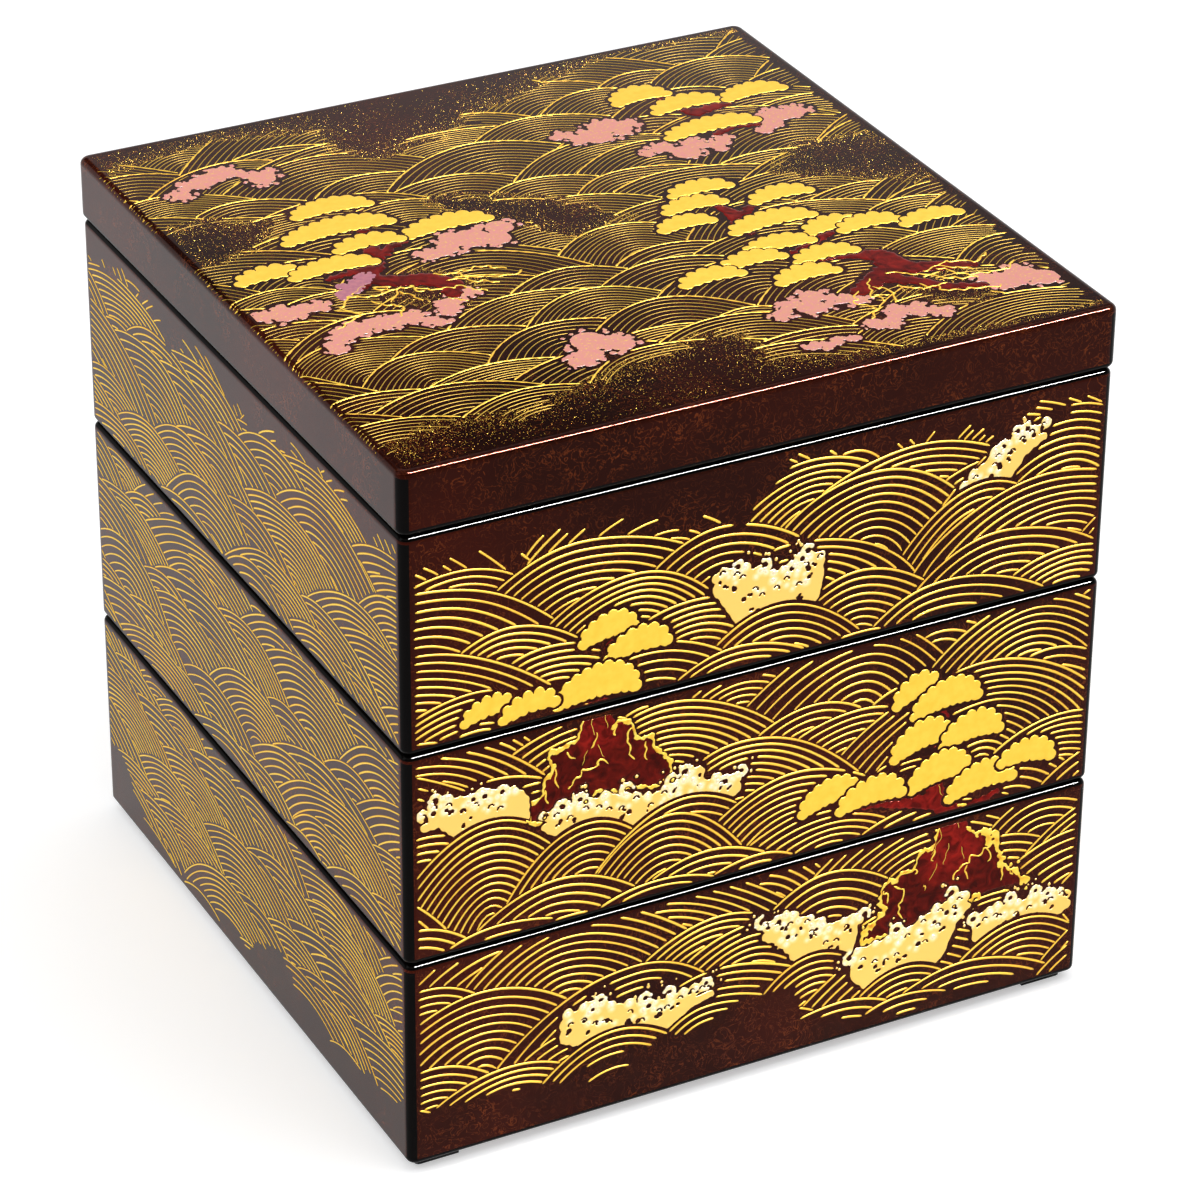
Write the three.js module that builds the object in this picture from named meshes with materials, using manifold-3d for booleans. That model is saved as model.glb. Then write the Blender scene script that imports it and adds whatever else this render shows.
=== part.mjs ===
// A square lacquered wooden box: three alike tiers stacked under a lid that lifts off.
// Lengths are in millimetres. +Z is up, and the origin is on the ground, in the middle of the box.

import * as THREE from 'three';
import { mergeVertices } from 'three/addons/utils/BufferGeometryUtils.js';
import Module from 'manifold-3d';

const wasm = await Module();
wasm.setup();

// The tiers. All three are alike, so that they stack in any order.
const SIDE = 196;                  // outer side of the square
const TIER_HEIGHT = 59.7;          // underside of the floor to the rim
const WALL = 6;
const FLOOR = 5;
const CORNER_RADIUS = 2.6;         // upright outer corners
const INNER_CORNER_RADIUS = 4;     // upright inner corners
const INNER_COVE = 2;              // where the inner walls meet the floor, and the lid's ceiling
const EDGE_RADIUS = 1.8;           // rounded outer edges along the rims, undersides and lid top

// The rim: a lip outside, and a rebate inside it that takes the feet of the tier above.
const LIP = 2.6;
const REBATE_CORNER_RADIUS = 2;
const FIT_CLEARANCE = 0.4;         // sideways, between the lip and the feet or the lid's tongue
const FOOT_CLEARANCE = 0.4;        // below the feet and the tongue, above the rebate's floor
const SEAT_GAP = 0.3;              // between a rim and the piece that sits on it

// The feet: one angle under each corner of every tier.
const FOOT_HEIGHT = 2.5;
const FOOT_LENGTH = 12;

// The lid: a shallow tray upside down, a hair wider than the tiers.
const LID_HEIGHT = 17.5;           // its lower edge to its top
const LID_TOP = 5;                 // thickness of the top plate
const LID_OVERHANG = 0.4;          // how far it stands out past the tiers on each side

// Fineness of the curves.
const CORNER_SEGMENTS = 6;
const EDGE_SEGMENTS = 4;
const SMALLEST_RADIUS = 0.2;

// What follows from the sizes above.
const PITCH = TIER_HEIGHT + SEAT_GAP;
const REBATE_DEPTH = FOOT_HEIGHT - SEAT_GAP + FOOT_CLEARANCE;
const FOOT_SIDE = SIDE - 2 * (LIP + FIT_CLEARANCE);
const FOOT_THICKNESS = WALL - LIP - FIT_CLEARANCE;
const FOOT_CORNER_RADIUS = Math.max(REBATE_CORNER_RADIUS - FIT_CLEARANCE, SMALLEST_RADIUS);
const CAVITY_SIDE = SIDE - 2 * WALL;
const LID_SIDE = SIDE + 2 * LID_OVERHANG;
const LID_CORNER_RADIUS = CORNER_RADIUS + LID_OVERHANG;
const OUTER_EDGE = Math.min(EDGE_RADIUS, 0.8 * LIP, 0.8 * CORNER_RADIUS);
const COVE = Math.min(INNER_COVE, 0.8 * INNER_CORNER_RADIUS);
const OVERSHOOT = 1;               // how far a cutting shape runs past what it cuts

const lacquer = new THREE.MeshStandardMaterial({
  color: '#2b1512',
  roughness: 0.12,
  metalness: 0,
});

// The outline of a square with round corners, centred on the origin.
function roundedSquare(side, radius) {
  const centre = side / 2 - radius;
  const outline = new THREE.Shape();
  outline.absarc(centre, centre, radius, 0, Math.PI / 2);
  outline.absarc(-centre, centre, radius, Math.PI / 2, Math.PI);
  outline.absarc(-centre, -centre, radius, Math.PI, 1.5 * Math.PI);
  outline.absarc(centre, -centre, radius, 1.5 * Math.PI, 2 * Math.PI);
  return outline;
}

// A square block from z = 0 to its height, with its upright corners rounded to one radius
// and its top and bottom edges to another. An edge of 0 leaves them sharp.
function block(side, radius, height, edge = 0) {
  const geometry = new THREE.ExtrudeGeometry(roundedSquare(side, radius), {
    depth: height - 2 * edge,
    curveSegments: CORNER_SEGMENTS,
    bevelEnabled: edge > 0,
    bevelThickness: edge,
    bevelSize: edge,
    bevelOffset: -edge,
    bevelSegments: EDGE_SEGMENTS,
  });
  return solid(geometry.translate(0, 0, edge));
}

// The angle of one foot, in the corner towards +X and +Y, from z = 0 up.
function foot(height) {
  const outer = FOOT_SIDE / 2;
  const inner = outer - FOOT_THICKNESS;
  const end = outer - FOOT_LENGTH;
  const centre = outer - FOOT_CORNER_RADIUS;
  const outline = new THREE.Shape();
  outline.moveTo(end, inner);
  outline.lineTo(inner, inner);
  outline.lineTo(inner, end);
  outline.lineTo(outer, end);
  outline.absarc(centre, centre, FOOT_CORNER_RADIUS, 0, Math.PI / 2);
  outline.lineTo(end, outer);
  outline.closePath();
  const geometry = new THREE.ExtrudeGeometry(outline, {
    depth: height,
    curveSegments: CORNER_SEGMENTS,
    bevelEnabled: false,
  });
  return solid(geometry);
}

// A closed mesh as a solid that can be joined and cut.
function solid(geometry) {
  geometry.deleteAttribute('normal');
  geometry.deleteAttribute('uv');
  const merged = mergeVertices(geometry, 1e-4);
  return new wasm.Manifold(new wasm.Mesh({
    numProp: 3,
    vertProperties: merged.attributes.position.array,
    triVerts: Uint32Array.from(merged.index.array),
  }));
}

function named(name, shape, material) {
  const { vertProperties, triVerts } = shape.getMesh();
  const geometry = new THREE.BufferGeometry();
  geometry.setAttribute('position', new THREE.BufferAttribute(vertProperties, 3));
  geometry.setIndex(new THREE.BufferAttribute(triVerts, 1));
  geometry.computeVertexNormals();
  const mesh = new THREE.Mesh(geometry, material);
  mesh.name = name;
  return mesh;
}

// One tier, standing on its feet at z = 0: a block hollowed from above, with a rebate inside
// its rim and four feet that reach into its floor.
function makeTier() {
  const rim = FOOT_HEIGHT + TIER_HEIGHT;
  const body = block(SIDE, CORNER_RADIUS, TIER_HEIGHT, OUTER_EDGE).translate([0, 0, FOOT_HEIGHT]);
  const cavityDepth = TIER_HEIGHT - FLOOR;
  const cavity = block(CAVITY_SIDE, INNER_CORNER_RADIUS, cavityDepth + COVE + OVERSHOOT, COVE)
    .translate([0, 0, rim - cavityDepth]);
  const rebate = block(SIDE - 2 * LIP, REBATE_CORNER_RADIUS, REBATE_DEPTH + OVERSHOOT)
    .translate([0, 0, rim - REBATE_DEPTH]);
  let tier = body.subtract(cavity).subtract(rebate);
  for (let quarter = 0; quarter < 4; quarter += 1) {
    tier = tier.add(foot(FOOT_HEIGHT + FLOOR / 2).rotate([0, 0, 90 * quarter]));
  }
  return tier;
}

// The lid, with its lower edge at z = 0 and a tongue below it that drops inside the rim.
// Its hollow lines up with the hollow of the tier below.
function makeLid() {
  const body = block(LID_SIDE, LID_CORNER_RADIUS, LID_HEIGHT, OUTER_EDGE);
  const tongue = block(FOOT_SIDE, FOOT_CORNER_RADIUS, FOOT_HEIGHT + LID_TOP)
    .translate([0, 0, -FOOT_HEIGHT]);
  const ceiling = LID_HEIGHT - LID_TOP;
  const hollowDepth = FOOT_HEIGHT + ceiling + COVE + OVERSHOOT;
  const hollow = block(CAVITY_SIDE, INNER_CORNER_RADIUS, hollowDepth, COVE)
    .translate([0, 0, ceiling - hollowDepth]);
  return body.add(tongue).subtract(hollow);
}

const box = new THREE.Group();
const tier = makeTier();
['lower_tier', 'middle_tier', 'upper_tier'].forEach((name, level) => {
  const mesh = named(name, tier, lacquer);
  mesh.position.z = level * PITCH;
  box.add(mesh);
});

const lid = named('lid', makeLid(), lacquer);
lid.position.z = FOOT_HEIGHT + 3 * PITCH;
box.add(lid);

export default box;
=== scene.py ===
# %% [markdown]
# # A tiered lacquer box
# Three open tiers stand on each other under a lid that lifts off. The wood lies under dark
# brown lacquer polished like glass, and on it are waves, pines, rocks and foam in gold powder
# and coloured lacquer.
# The solids of the pieces are loaded first, and they stay as they are. Everything below is
# worked out from their sizes, so each painted line lies where the real one would.

# %% The fixed frame
import math

import bpy
import numpy as np
from mathutils import Matrix, Vector


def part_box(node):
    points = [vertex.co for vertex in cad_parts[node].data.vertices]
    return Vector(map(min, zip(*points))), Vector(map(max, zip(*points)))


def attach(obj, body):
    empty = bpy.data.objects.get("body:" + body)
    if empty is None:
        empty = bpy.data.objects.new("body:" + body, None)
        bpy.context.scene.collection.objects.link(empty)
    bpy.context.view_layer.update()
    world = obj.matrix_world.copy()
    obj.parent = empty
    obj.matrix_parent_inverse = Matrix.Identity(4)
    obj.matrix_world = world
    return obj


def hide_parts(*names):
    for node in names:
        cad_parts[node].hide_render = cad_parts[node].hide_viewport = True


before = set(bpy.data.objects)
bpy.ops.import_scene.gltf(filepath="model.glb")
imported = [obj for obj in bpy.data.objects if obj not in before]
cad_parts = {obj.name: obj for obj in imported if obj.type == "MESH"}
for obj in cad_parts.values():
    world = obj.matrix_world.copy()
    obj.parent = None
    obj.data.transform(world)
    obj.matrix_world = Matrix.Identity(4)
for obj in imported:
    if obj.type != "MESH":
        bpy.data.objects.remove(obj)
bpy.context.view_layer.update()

MM = 0.001
TIERS = ("lower_tier", "middle_tier", "upper_tier")
FOOT_HEIGHT = 2.5
tier_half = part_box("lower_tier")[1].x / MM
lid_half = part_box("lid")[1].x / MM
tier_bottoms = [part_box(name)[0].z / MM + FOOT_HEIGHT for name in TIERS]
tier_rims = [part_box(name)[1].z / MM for name in TIERS]
lid_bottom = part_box("lid")[0].z / MM + FOOT_HEIGHT
lid_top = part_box("lid")[1].z / MM
print("tier half width", round(tier_half, 2), "lid half width", round(lid_half, 2))
print("tiers from", np.round(tier_bottoms, 2), "to", np.round(tier_rims, 2))
print("lid from", round(lid_bottom, 2), "to", round(lid_top, 2))

# %% [markdown]
# ## Meshes from arrays
# Every piece here is worked out as whole arrays in millimetres, then written into a mesh in
# one go. That is quick even for a hundred thousand faces, and the mesh lies where its numbers
# say, so its object stays at the origin.

# %% A mesh from arrays
triangles_made = []


def add_mesh(name, points, face_groups, materials, node, smooth=True, values=None,
             material_of=None):
    """An object from points in mm and arrays of faces, one array for each number of corners.
    values maps the name of an attribute to one number for each point, and material_of gives
    the number of each face's material where there are several."""
    mesh = bpy.data.meshes.new(name)
    corners = np.concatenate([group.ravel() for group in face_groups]).astype(np.int32)
    sizes = np.concatenate([np.full(len(g), g.shape[1]) for g in face_groups])
    starts = np.concatenate([[0], np.cumsum(sizes)[:-1]]).astype(np.int32)
    mesh.vertices.add(len(points))
    mesh.vertices.foreach_set("co", (points * MM).astype(np.float32).ravel())
    mesh.loops.add(len(corners))
    mesh.loops.foreach_set("vertex_index", corners)
    mesh.polygons.add(len(sizes))
    mesh.polygons.foreach_set("loop_start", starts)
    mesh.polygons.foreach_set("use_smooth", np.full(len(sizes), smooth))
    for key, numbers in (values or {}).items():
        attribute = mesh.attributes.new(key, "FLOAT", "POINT")
        attribute.data.foreach_set("value", np.asarray(numbers, np.float32))
    if material_of is not None:
        mesh.polygons.foreach_set("material_index", np.asarray(material_of, np.int32))
    mesh.update(calc_edges=True)
    for material in materials:
        mesh.materials.append(material)
    piece = bpy.data.objects.new(name, mesh)
    bpy.context.scene.collection.objects.link(piece)
    if node:
        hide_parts(node)
    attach(piece, "root")
    triangles_made.append(int((sizes - 2).sum()))
    print(name, "has", len(points), "points and", triangles_made[-1], "triangles")


# %% Joining arrays of points and faces
def join(parts):
    """One set of points and triangles from several: each part's numbers follow the last's."""
    points, faces, values, first = [], [], [], 0
    for part_points, part_faces, part_values in parts:
        points.append(part_points)
        faces.append(part_faces + first)
        values.append(part_values)
        first += len(part_points)
    return np.concatenate(points), np.concatenate(faces), np.concatenate(values)


# %% [markdown]
# ## Materials
# A helper keeps the node trees short: it adds a node, and each of its inputs is either a plain
# value or the output of another node.

# %% Node helpers
def new_material(name, **sockets):
    """A Principled material whose constant values sit on the shader's own sockets."""
    material = bpy.data.materials.new(name)
    material.use_nodes = True
    shader = material.node_tree.nodes["Principled BSDF"]
    for socket, value in sockets.items():
        shader.inputs[socket.replace("_", " ")].default_value = value
    return material


def add_node(material, kind, inputs=None, **settings):
    """A node with its settings. An input is given by name or number, as a value or a link."""
    tree = material.node_tree
    node = tree.nodes.new(kind)
    for key, value in settings.items():
        setattr(node, key, value)
    for key, value in (inputs or {}).items():
        if isinstance(value, bpy.types.NodeSocket):
            tree.links.new(value, node.inputs[key])
        else:
            node.inputs[key].default_value = value
    return node


def to_shader(material, socket, output):
    """Links an output to a socket of the material's Principled shader."""
    shader = material.node_tree.nodes["Principled BSDF"]
    material.node_tree.links.new(output, shader.inputs[socket])


def math_node(material, operation, first, second=0.0):
    """The result of an operation on one or two values."""
    inputs = {0: first, 1: second}
    return add_node(material, "ShaderNodeMath", inputs, operation=operation).outputs[0]


def mix_colour(material, factor, first, second):
    """The first colour where the factor is nought, the second where it is one."""
    inputs = {"Factor": factor, 6: first, 7: second}
    return add_node(material, "ShaderNodeMix", inputs, data_type="RGBA").outputs[2]


# %% Helpers for ramps, ranges and noise
def ramp(material, factor, stops):
    """A colour ramp with stops of (position, colour)."""
    node = add_node(material, "ShaderNodeValToRGB", {"Fac": factor})
    elements = node.color_ramp.elements
    while len(elements) < len(stops):
        elements.new(0.5)
    for element, (position, colour) in zip(elements, stops):
        element.position = position
        element.color = colour
    return node.outputs["Color"]


def span(material, value, low, high, to_low=0.0, to_high=1.0):
    """A value carried from one range to another, kept inside it."""
    inputs = {0: value, 1: low, 2: high, 3: to_low, 4: to_high}
    return add_node(material, "ShaderNodeMapRange", inputs).outputs[0]


def noise(material, scale, detail=2.0, distortion=0.0):
    """Noise on the object's own coordinates. The scale is in waves a metre."""
    where = add_node(material, "ShaderNodeTexCoord").outputs["Object"]
    inputs = {"Vector": where, "Scale": scale, "Detail": detail, "Distortion": distortion}
    return add_node(material, "ShaderNodeTexNoise", inputs).outputs["Fac"]


def attribute(material, name):
    """A number that the mesh carries at each of its points."""
    return add_node(material, "ShaderNodeAttribute", attribute_name=name).outputs["Fac"]


# %% [markdown]
# ## The lacquer
# Real lacquer of this kind is a deep brown, clear layer over a red ground. The ground shows
# through as a tangle of thin rust-coloured threads, stronger in some places than others. The
# threads are the contour lines of a twisted noise, which is how such a tangle is made without
# drawing one. The clear layer is brown too, so what it mirrors straight on is tinted, while a
# flat mirror image at its sides stays white: that is what Specular Tint does.

# %% The lacquer's colours
BROWN = (0.0125, 0.0026, 0.0016, 1)
RED_BROWN = (0.0350, 0.0045, 0.0022, 1)
THREAD = (0.160, 0.034, 0.008, 1)

lacquer = new_material("dark_lacquer", Roughness=0.06, IOR=1.24,
                       Specular_Tint=(0.8, 0.18, 0.12, 1))
patches = span(lacquer, noise(lacquer, 16, 3), 0.42, 0.68)
ground = mix_colour(lacquer, patches, BROWN, RED_BROWN)
tangle = math_node(lacquer, "ABSOLUTE", math_node(
    lacquer, "SUBTRACT", noise(lacquer, 260, 2.5, 2.2), 0.5))
thread = span(lacquer, tangle, 0.004, 0.026, 1, 0)
strength = span(lacquer, noise(lacquer, 70, 3), 0.40, 0.66, 0.14, 0.85)
thread = math_node(lacquer, "MULTIPLY", thread, strength)
to_shader(lacquer, "Base Color", mix_colour(lacquer, thread, ground, THREAD))
waviness = add_node(lacquer, "ShaderNodeBump",
                    {"Strength": 0.04, "Distance": 0.0004, "Height": noise(lacquer, 60, 1)})
to_shader(lacquer, "Normal", waviness.outputs[0])

# %% [markdown]
# The upright corners are drawn plain black, with no pattern. The rounded edges at the seams and at
# the base, the rebates and the feet are black too, and there the black is painted shade, in the
# gaps between the tiers and under the box. The black's gloss is still a little uneven, where hands
# have rubbed it.

# %% The black edges
# Plain black for the upright corners, and painted shade for the seam and base edges and the feet.
black = new_material("black_corners_and_painted_seam_shade", IOR=1.12)
rubbed = noise(black, 90, 3)
to_shader(black, "Base Color", mix_colour(black, rubbed, (0.0006, 0.0005, 0.0006, 1),
                                          (0.0022, 0.0012, 0.0010, 1)))
to_shader(black, "Roughness", span(black, rubbed, 0.3, 0.8, 0.05, 0.11))

# %% [markdown]
# ## The tiers and the lid
# Each one is a profile carried round a square with round corners. The profile runs from the
# middle of the underside, up the outside, over the rim and down into the hollow, so the walls
# have their true thickness. Every corner of it is a small arc. Just beyond each arc lies one
# more ring of points, which keeps the flat faces truly flat when they are shaded smooth.

# %% A profile with rounded corners
ARC_STEPS = 8
HOLD = 0.3  # how far beyond an arc the ring lies that keeps the next face flat


def rounded_profile(corners):
    """Rows of (half width, height, plan radius, black) from corners of (half width, height,
    radius, plan radius, the last share of its arc that is black). Each corner is a right
    angle. It becomes an arc: the centre less the way out times a cosine, plus the way in times
    a sine. The plan radius shrinks with the half width, as it does round a rolled edge."""
    rows = []
    turn = np.linspace(0, math.pi / 2, ARC_STEPS + 1)[:, None]
    for before, corner, after in zip(corners, corners[1:], corners[2:]):
        here = np.array(corner[:2], float)
        way_in = here - np.array(before[:2])
        way_out = np.array(after[:2]) - here
        way_in /= np.abs(way_in).sum()
        way_out /= np.abs(way_out).sum()
        radius, plan, black_share = corner[2:]
        hold = min(HOLD, 0.6 * radius)
        centre = here - way_in * radius + way_out * radius
        arc = centre - way_out * radius * np.cos(turn) + way_in * radius * np.sin(turn)
        first, last = here - way_in * (radius + hold), here + way_out * (radius + hold)
        points = np.vstack([first, arc, last])
        plans = np.maximum(plan + points[:, 0] - here[0], 0.2)
        black_after = np.zeros(len(points))
        black_after[1:-2] = np.arange(ARC_STEPS) >= (1 - black_share) * ARC_STEPS
        rows.append(np.column_stack([points, plans, black_after]))
    return np.vstack(rows)


# %% Rings of points joined by quads
def ring_quads(rows, around):
    """The numbers of the points of some rings, the numbers one place further round, and the
    quads that join each ring to the next."""
    index = np.arange(rows * around).reshape(rows, around)
    following = np.roll(index, -1, axis=1)
    quads = np.stack([index[:-1], following[:-1], following[1:], index[1:]], 2)
    return index, following, quads.reshape(-1, 4)


# %% A square ring for each row of the profile
def square_rings(profile):
    """Points of shape (rows, around, 3). A ring is four quarter circles of the row's plan
    radius, joined by straight sides."""
    half, height, plan = profile.T[:3, :, None]
    turn = np.linspace(0, math.pi / 2, ARC_STEPS + 1)
    centre = half - plan
    arc_x, arc_y = centre + plan * np.cos(turn), centre + plan * np.sin(turn)
    corner_x = np.hstack([half, arc_x, centre - 2 * HOLD])
    corner_y = np.hstack([centre - 2 * HOLD, arc_y, half])
    x = np.hstack([corner_x, -corner_y, -corner_x, corner_y])
    y = np.hstack([corner_y, corner_x, -corner_y, -corner_x])
    return np.stack([x, y, np.broadcast_to(height, x.shape)], 2)


# %% Closing the rings into a shell
def shell(profile):
    """Points, quads, triangles and each face's material (1 is black) of a closed body: each
    ring joined to the next, and the first and last rings joined to a point in their middle.
    Black are the arcs that say so, and the upright corners of the outermost wall."""
    rings = square_rings(profile)
    rows, around = rings.shape[:2]
    index, following, quads = ring_quads(rows, around)
    middles = np.array([[0, 0, profile[0, 1]], [0, 0, profile[-1, 1]]])
    first, last = rows * around, rows * around + 1
    under = np.column_stack([np.full(around, first), following[0], index[0]])
    over = np.column_stack([np.full(around, last), index[-1], following[-1]])
    half = profile[:, 0]
    wall = (np.abs(np.diff(half)) < 1e-6) & (half[:-1] > half.max() - 1e-6)
    place = np.arange(around) % (ARC_STEPS + 3)
    corner = (place >= 2) & (place <= ARC_STEPS - 1)
    # Black faces are painted shade at the seams and the base, plus the plain black upright
    # corners.
    is_black = (profile[:-1, 3] > 0)[:, None] | (wall[:, None] & corner)
    points = np.vstack([rings.reshape(-1, 3), middles])
    material_of = np.concatenate([is_black.ravel(), np.zeros(2 * around)])
    return points, quads, np.vstack([under, over]), material_of


# %% [markdown]
# The sizes here are those of the solids. Only the lid's top lies a fifth of a millimetre lower
# than the solid's, because the gold that lies on it then ends just under its true height.

# %% The sizes that the frame doesn't give
WALL = 6
FLOOR = 5
LIP = 2.6
FIT = 0.4
REBATE = 2.6
REBATE_CORNER = 2
# The black share of a rim's rounding is the part that faces into the seam: painted shade.
RIM_PAINTED_SHADE_SHARE = 0.75   # of the rounding of a tier's rim
EDGE_RADIUS = 1.8
CORNER_RADIUS = 2.6
INNER_CORNER = 4
COVE = 2
LID_PLATE = 5
RELIEF = 0.2   # room for the gold above the lid's top
SOFT = 0.15    # the slight rounding of edges inside
lid_surface = lid_top - RELIEF


# %% One tier's profile
def tier_profile(bottom, rim):
    """Middle of the underside, outside, rim with its rebate, and the hollow."""
    cavity = tier_half - WALL
    # A corner's last number is the share of its arc drawn black: painted shade in the seams and
    # under the box.
    return rounded_profile([
        (0, bottom),
        (tier_half, bottom, EDGE_RADIUS, CORNER_RADIUS, 1),
        (tier_half, rim, EDGE_RADIUS, CORNER_RADIUS, RIM_PAINTED_SHADE_SHARE),
        (tier_half - LIP, rim, SOFT, REBATE_CORNER, 1),
        (tier_half - LIP, rim - REBATE, SOFT, REBATE_CORNER, 1),
        (cavity, rim - REBATE, SOFT, INNER_CORNER, 0),
        (cavity, bottom + FLOOR, COVE, INNER_CORNER, 0),
        (0, bottom + FLOOR),
    ])


def lid_profile():
    """Middle of the ceiling, the hollow, the tongue, the outside and the top."""
    cavity, tongue = tier_half - WALL, tier_half - LIP - FIT
    tongue_corner = REBATE_CORNER - FIT
    lid_corner = CORNER_RADIUS + lid_half - tier_half
    # The black arcs at the tongue and the lower edge are painted shade where the lid sits on the
    # upper tier.
    return rounded_profile([
        (0, lid_surface - LID_PLATE),
        (cavity, lid_surface - LID_PLATE, COVE, INNER_CORNER, 0),
        (cavity, lid_bottom - FOOT_HEIGHT, SOFT, INNER_CORNER, 0),
        (tongue, lid_bottom - FOOT_HEIGHT, SOFT, tongue_corner, 1),
        (tongue, lid_bottom, SOFT, tongue_corner, 1),
        (lid_half, lid_bottom, EDGE_RADIUS, lid_corner, 1),
        (lid_half, lid_surface, EDGE_RADIUS, lid_corner, 0),
        (0, lid_surface),
    ])


# %% [markdown]
# The feet are low angles under the corners, a little in from the faces. They are bodies of
# their own here that reach into the floor of their tier, as a glued foot would.

# %% The feet
FOOT_LENGTH = 12
FOOT_CHAMFER = 0.35
FOOT_ROUNDING = 1.2
FOOT_SUNK = 1   # how far a foot reaches into the floor


def feet(bottom):
    """Points, quads and caps of four angles. Two outlines of an L, the lower drawn in by the
    chamfer, and a third at the top. The other three corners are quarter turns of the first."""
    turn = np.linspace(0, math.pi / 2, 5)
    outer = tier_half - LIP - FIT

    def outline(shrink, z):
        """The outline of one L at a height, drawn in all round by so much."""
        far, near, end = outer - shrink, tier_half - WALL + shrink, outer - FOOT_LENGTH + shrink
        centre = far - FOOT_ROUNDING
        x = [end, near, near, far, *(centre + FOOT_ROUNDING * np.cos(turn)), end]
        y = [near, near, end, end, *(centre + FOOT_ROUNDING * np.sin(turn)), far]
        return np.column_stack([x, y, np.full(len(x), z)])

    levels = [outline(FOOT_CHAMFER, bottom - FOOT_HEIGHT),
              outline(0, bottom - FOOT_HEIGHT + FOOT_CHAMFER),
              outline(0, bottom + FOOT_SUNK)]
    index, _, quads = ring_quads(3, len(levels[0]))
    caps = np.stack([index[0, ::-1], index[-1]])
    one = np.vstack(levels)
    points = []
    for angle in np.arange(4) * math.pi / 2:
        spin = np.array([[math.cos(angle), math.sin(angle), 0],
                         [-math.sin(angle), math.cos(angle), 0], [0, 0, 1]])
        points.append(one @ spin)
    first = (np.arange(4) * len(one))[:, None, None]
    return (np.vstack(points), (quads + first).reshape(-1, 4),
            (caps + first).reshape(-1, caps.shape[1]))


# %% The lacquered pieces
for name, bottom, rim in zip(TIERS, tier_bottoms, tier_rims):
    body, quads, fans, material_of = shell(tier_profile(bottom, rim))
    foot_points, foot_quads, foot_caps = feet(bottom)
    points = np.vstack([body, foot_points])
    split_at = len(quads)
    quads = np.vstack([quads, foot_quads + len(body)])
    # The feet are all black: painted shade under the box.
    material_of = np.concatenate([material_of[:split_at], np.ones(len(foot_quads)),
                                  material_of[split_at:], np.ones(len(foot_caps))])
    add_mesh(name + "_lacquer", points, [quads, fans, foot_caps + len(body)],
             [lacquer, black], name, material_of=material_of)

body, quads, fans, material_of = shell(lid_profile())
add_mesh("lid_lacquer", body, [quads, fans], [lacquer, black], "lid",
         material_of=material_of)

# %% [markdown]
# ## The faces as sheets of paper
# All the painting is worked out flat, in millimetres along and up a face, and then laid on the
# box. A side is 196 mm wide and 180 mm high over all three tiers, so a wave runs on from tier
# to tier across the seams, as on the real box. On the lid the painting may run over the edge:
# past the flat part, a point goes round the quarter circle of the edge by its arc length.

# %% Laying a flat painting on the box
side_span = 2 * tier_half
SIDES = {  # the lower left corner of each side seen from outside, its way along and its normal
    "front": ((-1, -1), (1, 0), (0, -1)),
    "right": ((1, -1), (0, 1), (1, 0)),
    "back": ((1, 1), (-1, 0), (0, 1)),
    "left": ((-1, 1), (0, -1), (-1, 0)),
}


def lay_on_side(side, along, up, height):
    """The corner, plus the distance along the face, plus the height above its lacquer."""
    corner, way, normal = (np.array(v, float) for v in SIDES[side])
    flat = corner * tier_half + along[:, None] * way + height[:, None] * normal
    return np.column_stack([flat, up + tier_bottoms[0]])


def lay_on_lid(x, y, height):
    """On the flat part straight up. Past it, round the edge by arc length over radius."""
    flat = lid_half - EDGE_RADIUS
    over_x, over_y = np.abs(x) - flat, np.abs(y) - flat
    angle = np.clip(np.maximum(over_x, over_y), 0, None) / EDGE_RADIUS
    reach = (EDGE_RADIUS + height) * np.sin(angle)
    z = lid_surface - EDGE_RADIUS + (EDGE_RADIUS + height) * np.cos(angle)
    on_x = over_x >= over_y
    new_x = np.where((over_x > 0) & on_x, np.sign(x) * (flat + reach), x)
    new_y = np.where((over_y > 0) & ~on_x, np.sign(y) * (flat + reach), y)
    return np.column_stack([new_x, new_y, z])


# %% [markdown]
# ## Fields
# A shape is given by a field: a number at each point that is above zero inside the shape and
# tells roughly how far the edge is. Two shapes are joined by the larger of their fields, and
# one is cut from another by the smaller. Round dabs of a brush make pines, foam and blossom,
# and outlines of a few corners make rocks and the places that stay bare.

# %% Fields of dabs and of outlines
TILE = 9.0     # the face is worked through in tiles of this size
FAR = 5.0      # no field is needed further than this outside a dab


def dabs_field(dabs, u, v):
    """The largest of radius less distance over all dabs, which are rows of (u, v, radius).
    The points are sorted into square tiles, and each tile asks only the dabs near it."""
    flat_u, flat_v = np.ravel(u), np.ravel(v)
    best = np.full(flat_u.shape, -FAR)
    tile_u, tile_v = np.floor(flat_u / TILE), np.floor(flat_v / TILE)
    order = np.lexsort((tile_v, tile_u))
    change = np.diff(tile_u[order]) != 0
    change |= np.diff(tile_v[order]) != 0
    edges = np.concatenate([[0], np.nonzero(change)[0] + 1, [len(order)]])
    for first, last in zip(edges[:-1], edges[1:]):
        here = order[first:last]
        if not len(here):
            continue
        middle_u, middle_v = (tile_u[here[0]] + 0.5) * TILE, (tile_v[here[0]] + 0.5) * TILE
        away = np.hypot(dabs[:, 0] - middle_u, dabs[:, 1] - middle_v) - dabs[:, 2]
        near = dabs[away < FAR + TILE]
        if len(near):
            distance = np.hypot(flat_u[here, None] - near[:, 0], flat_v[here, None] - near[:, 1])
            best[here] = np.maximum(best[here], (near[:, 2] - distance).max(1))
    return best.reshape(np.shape(u))


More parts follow.
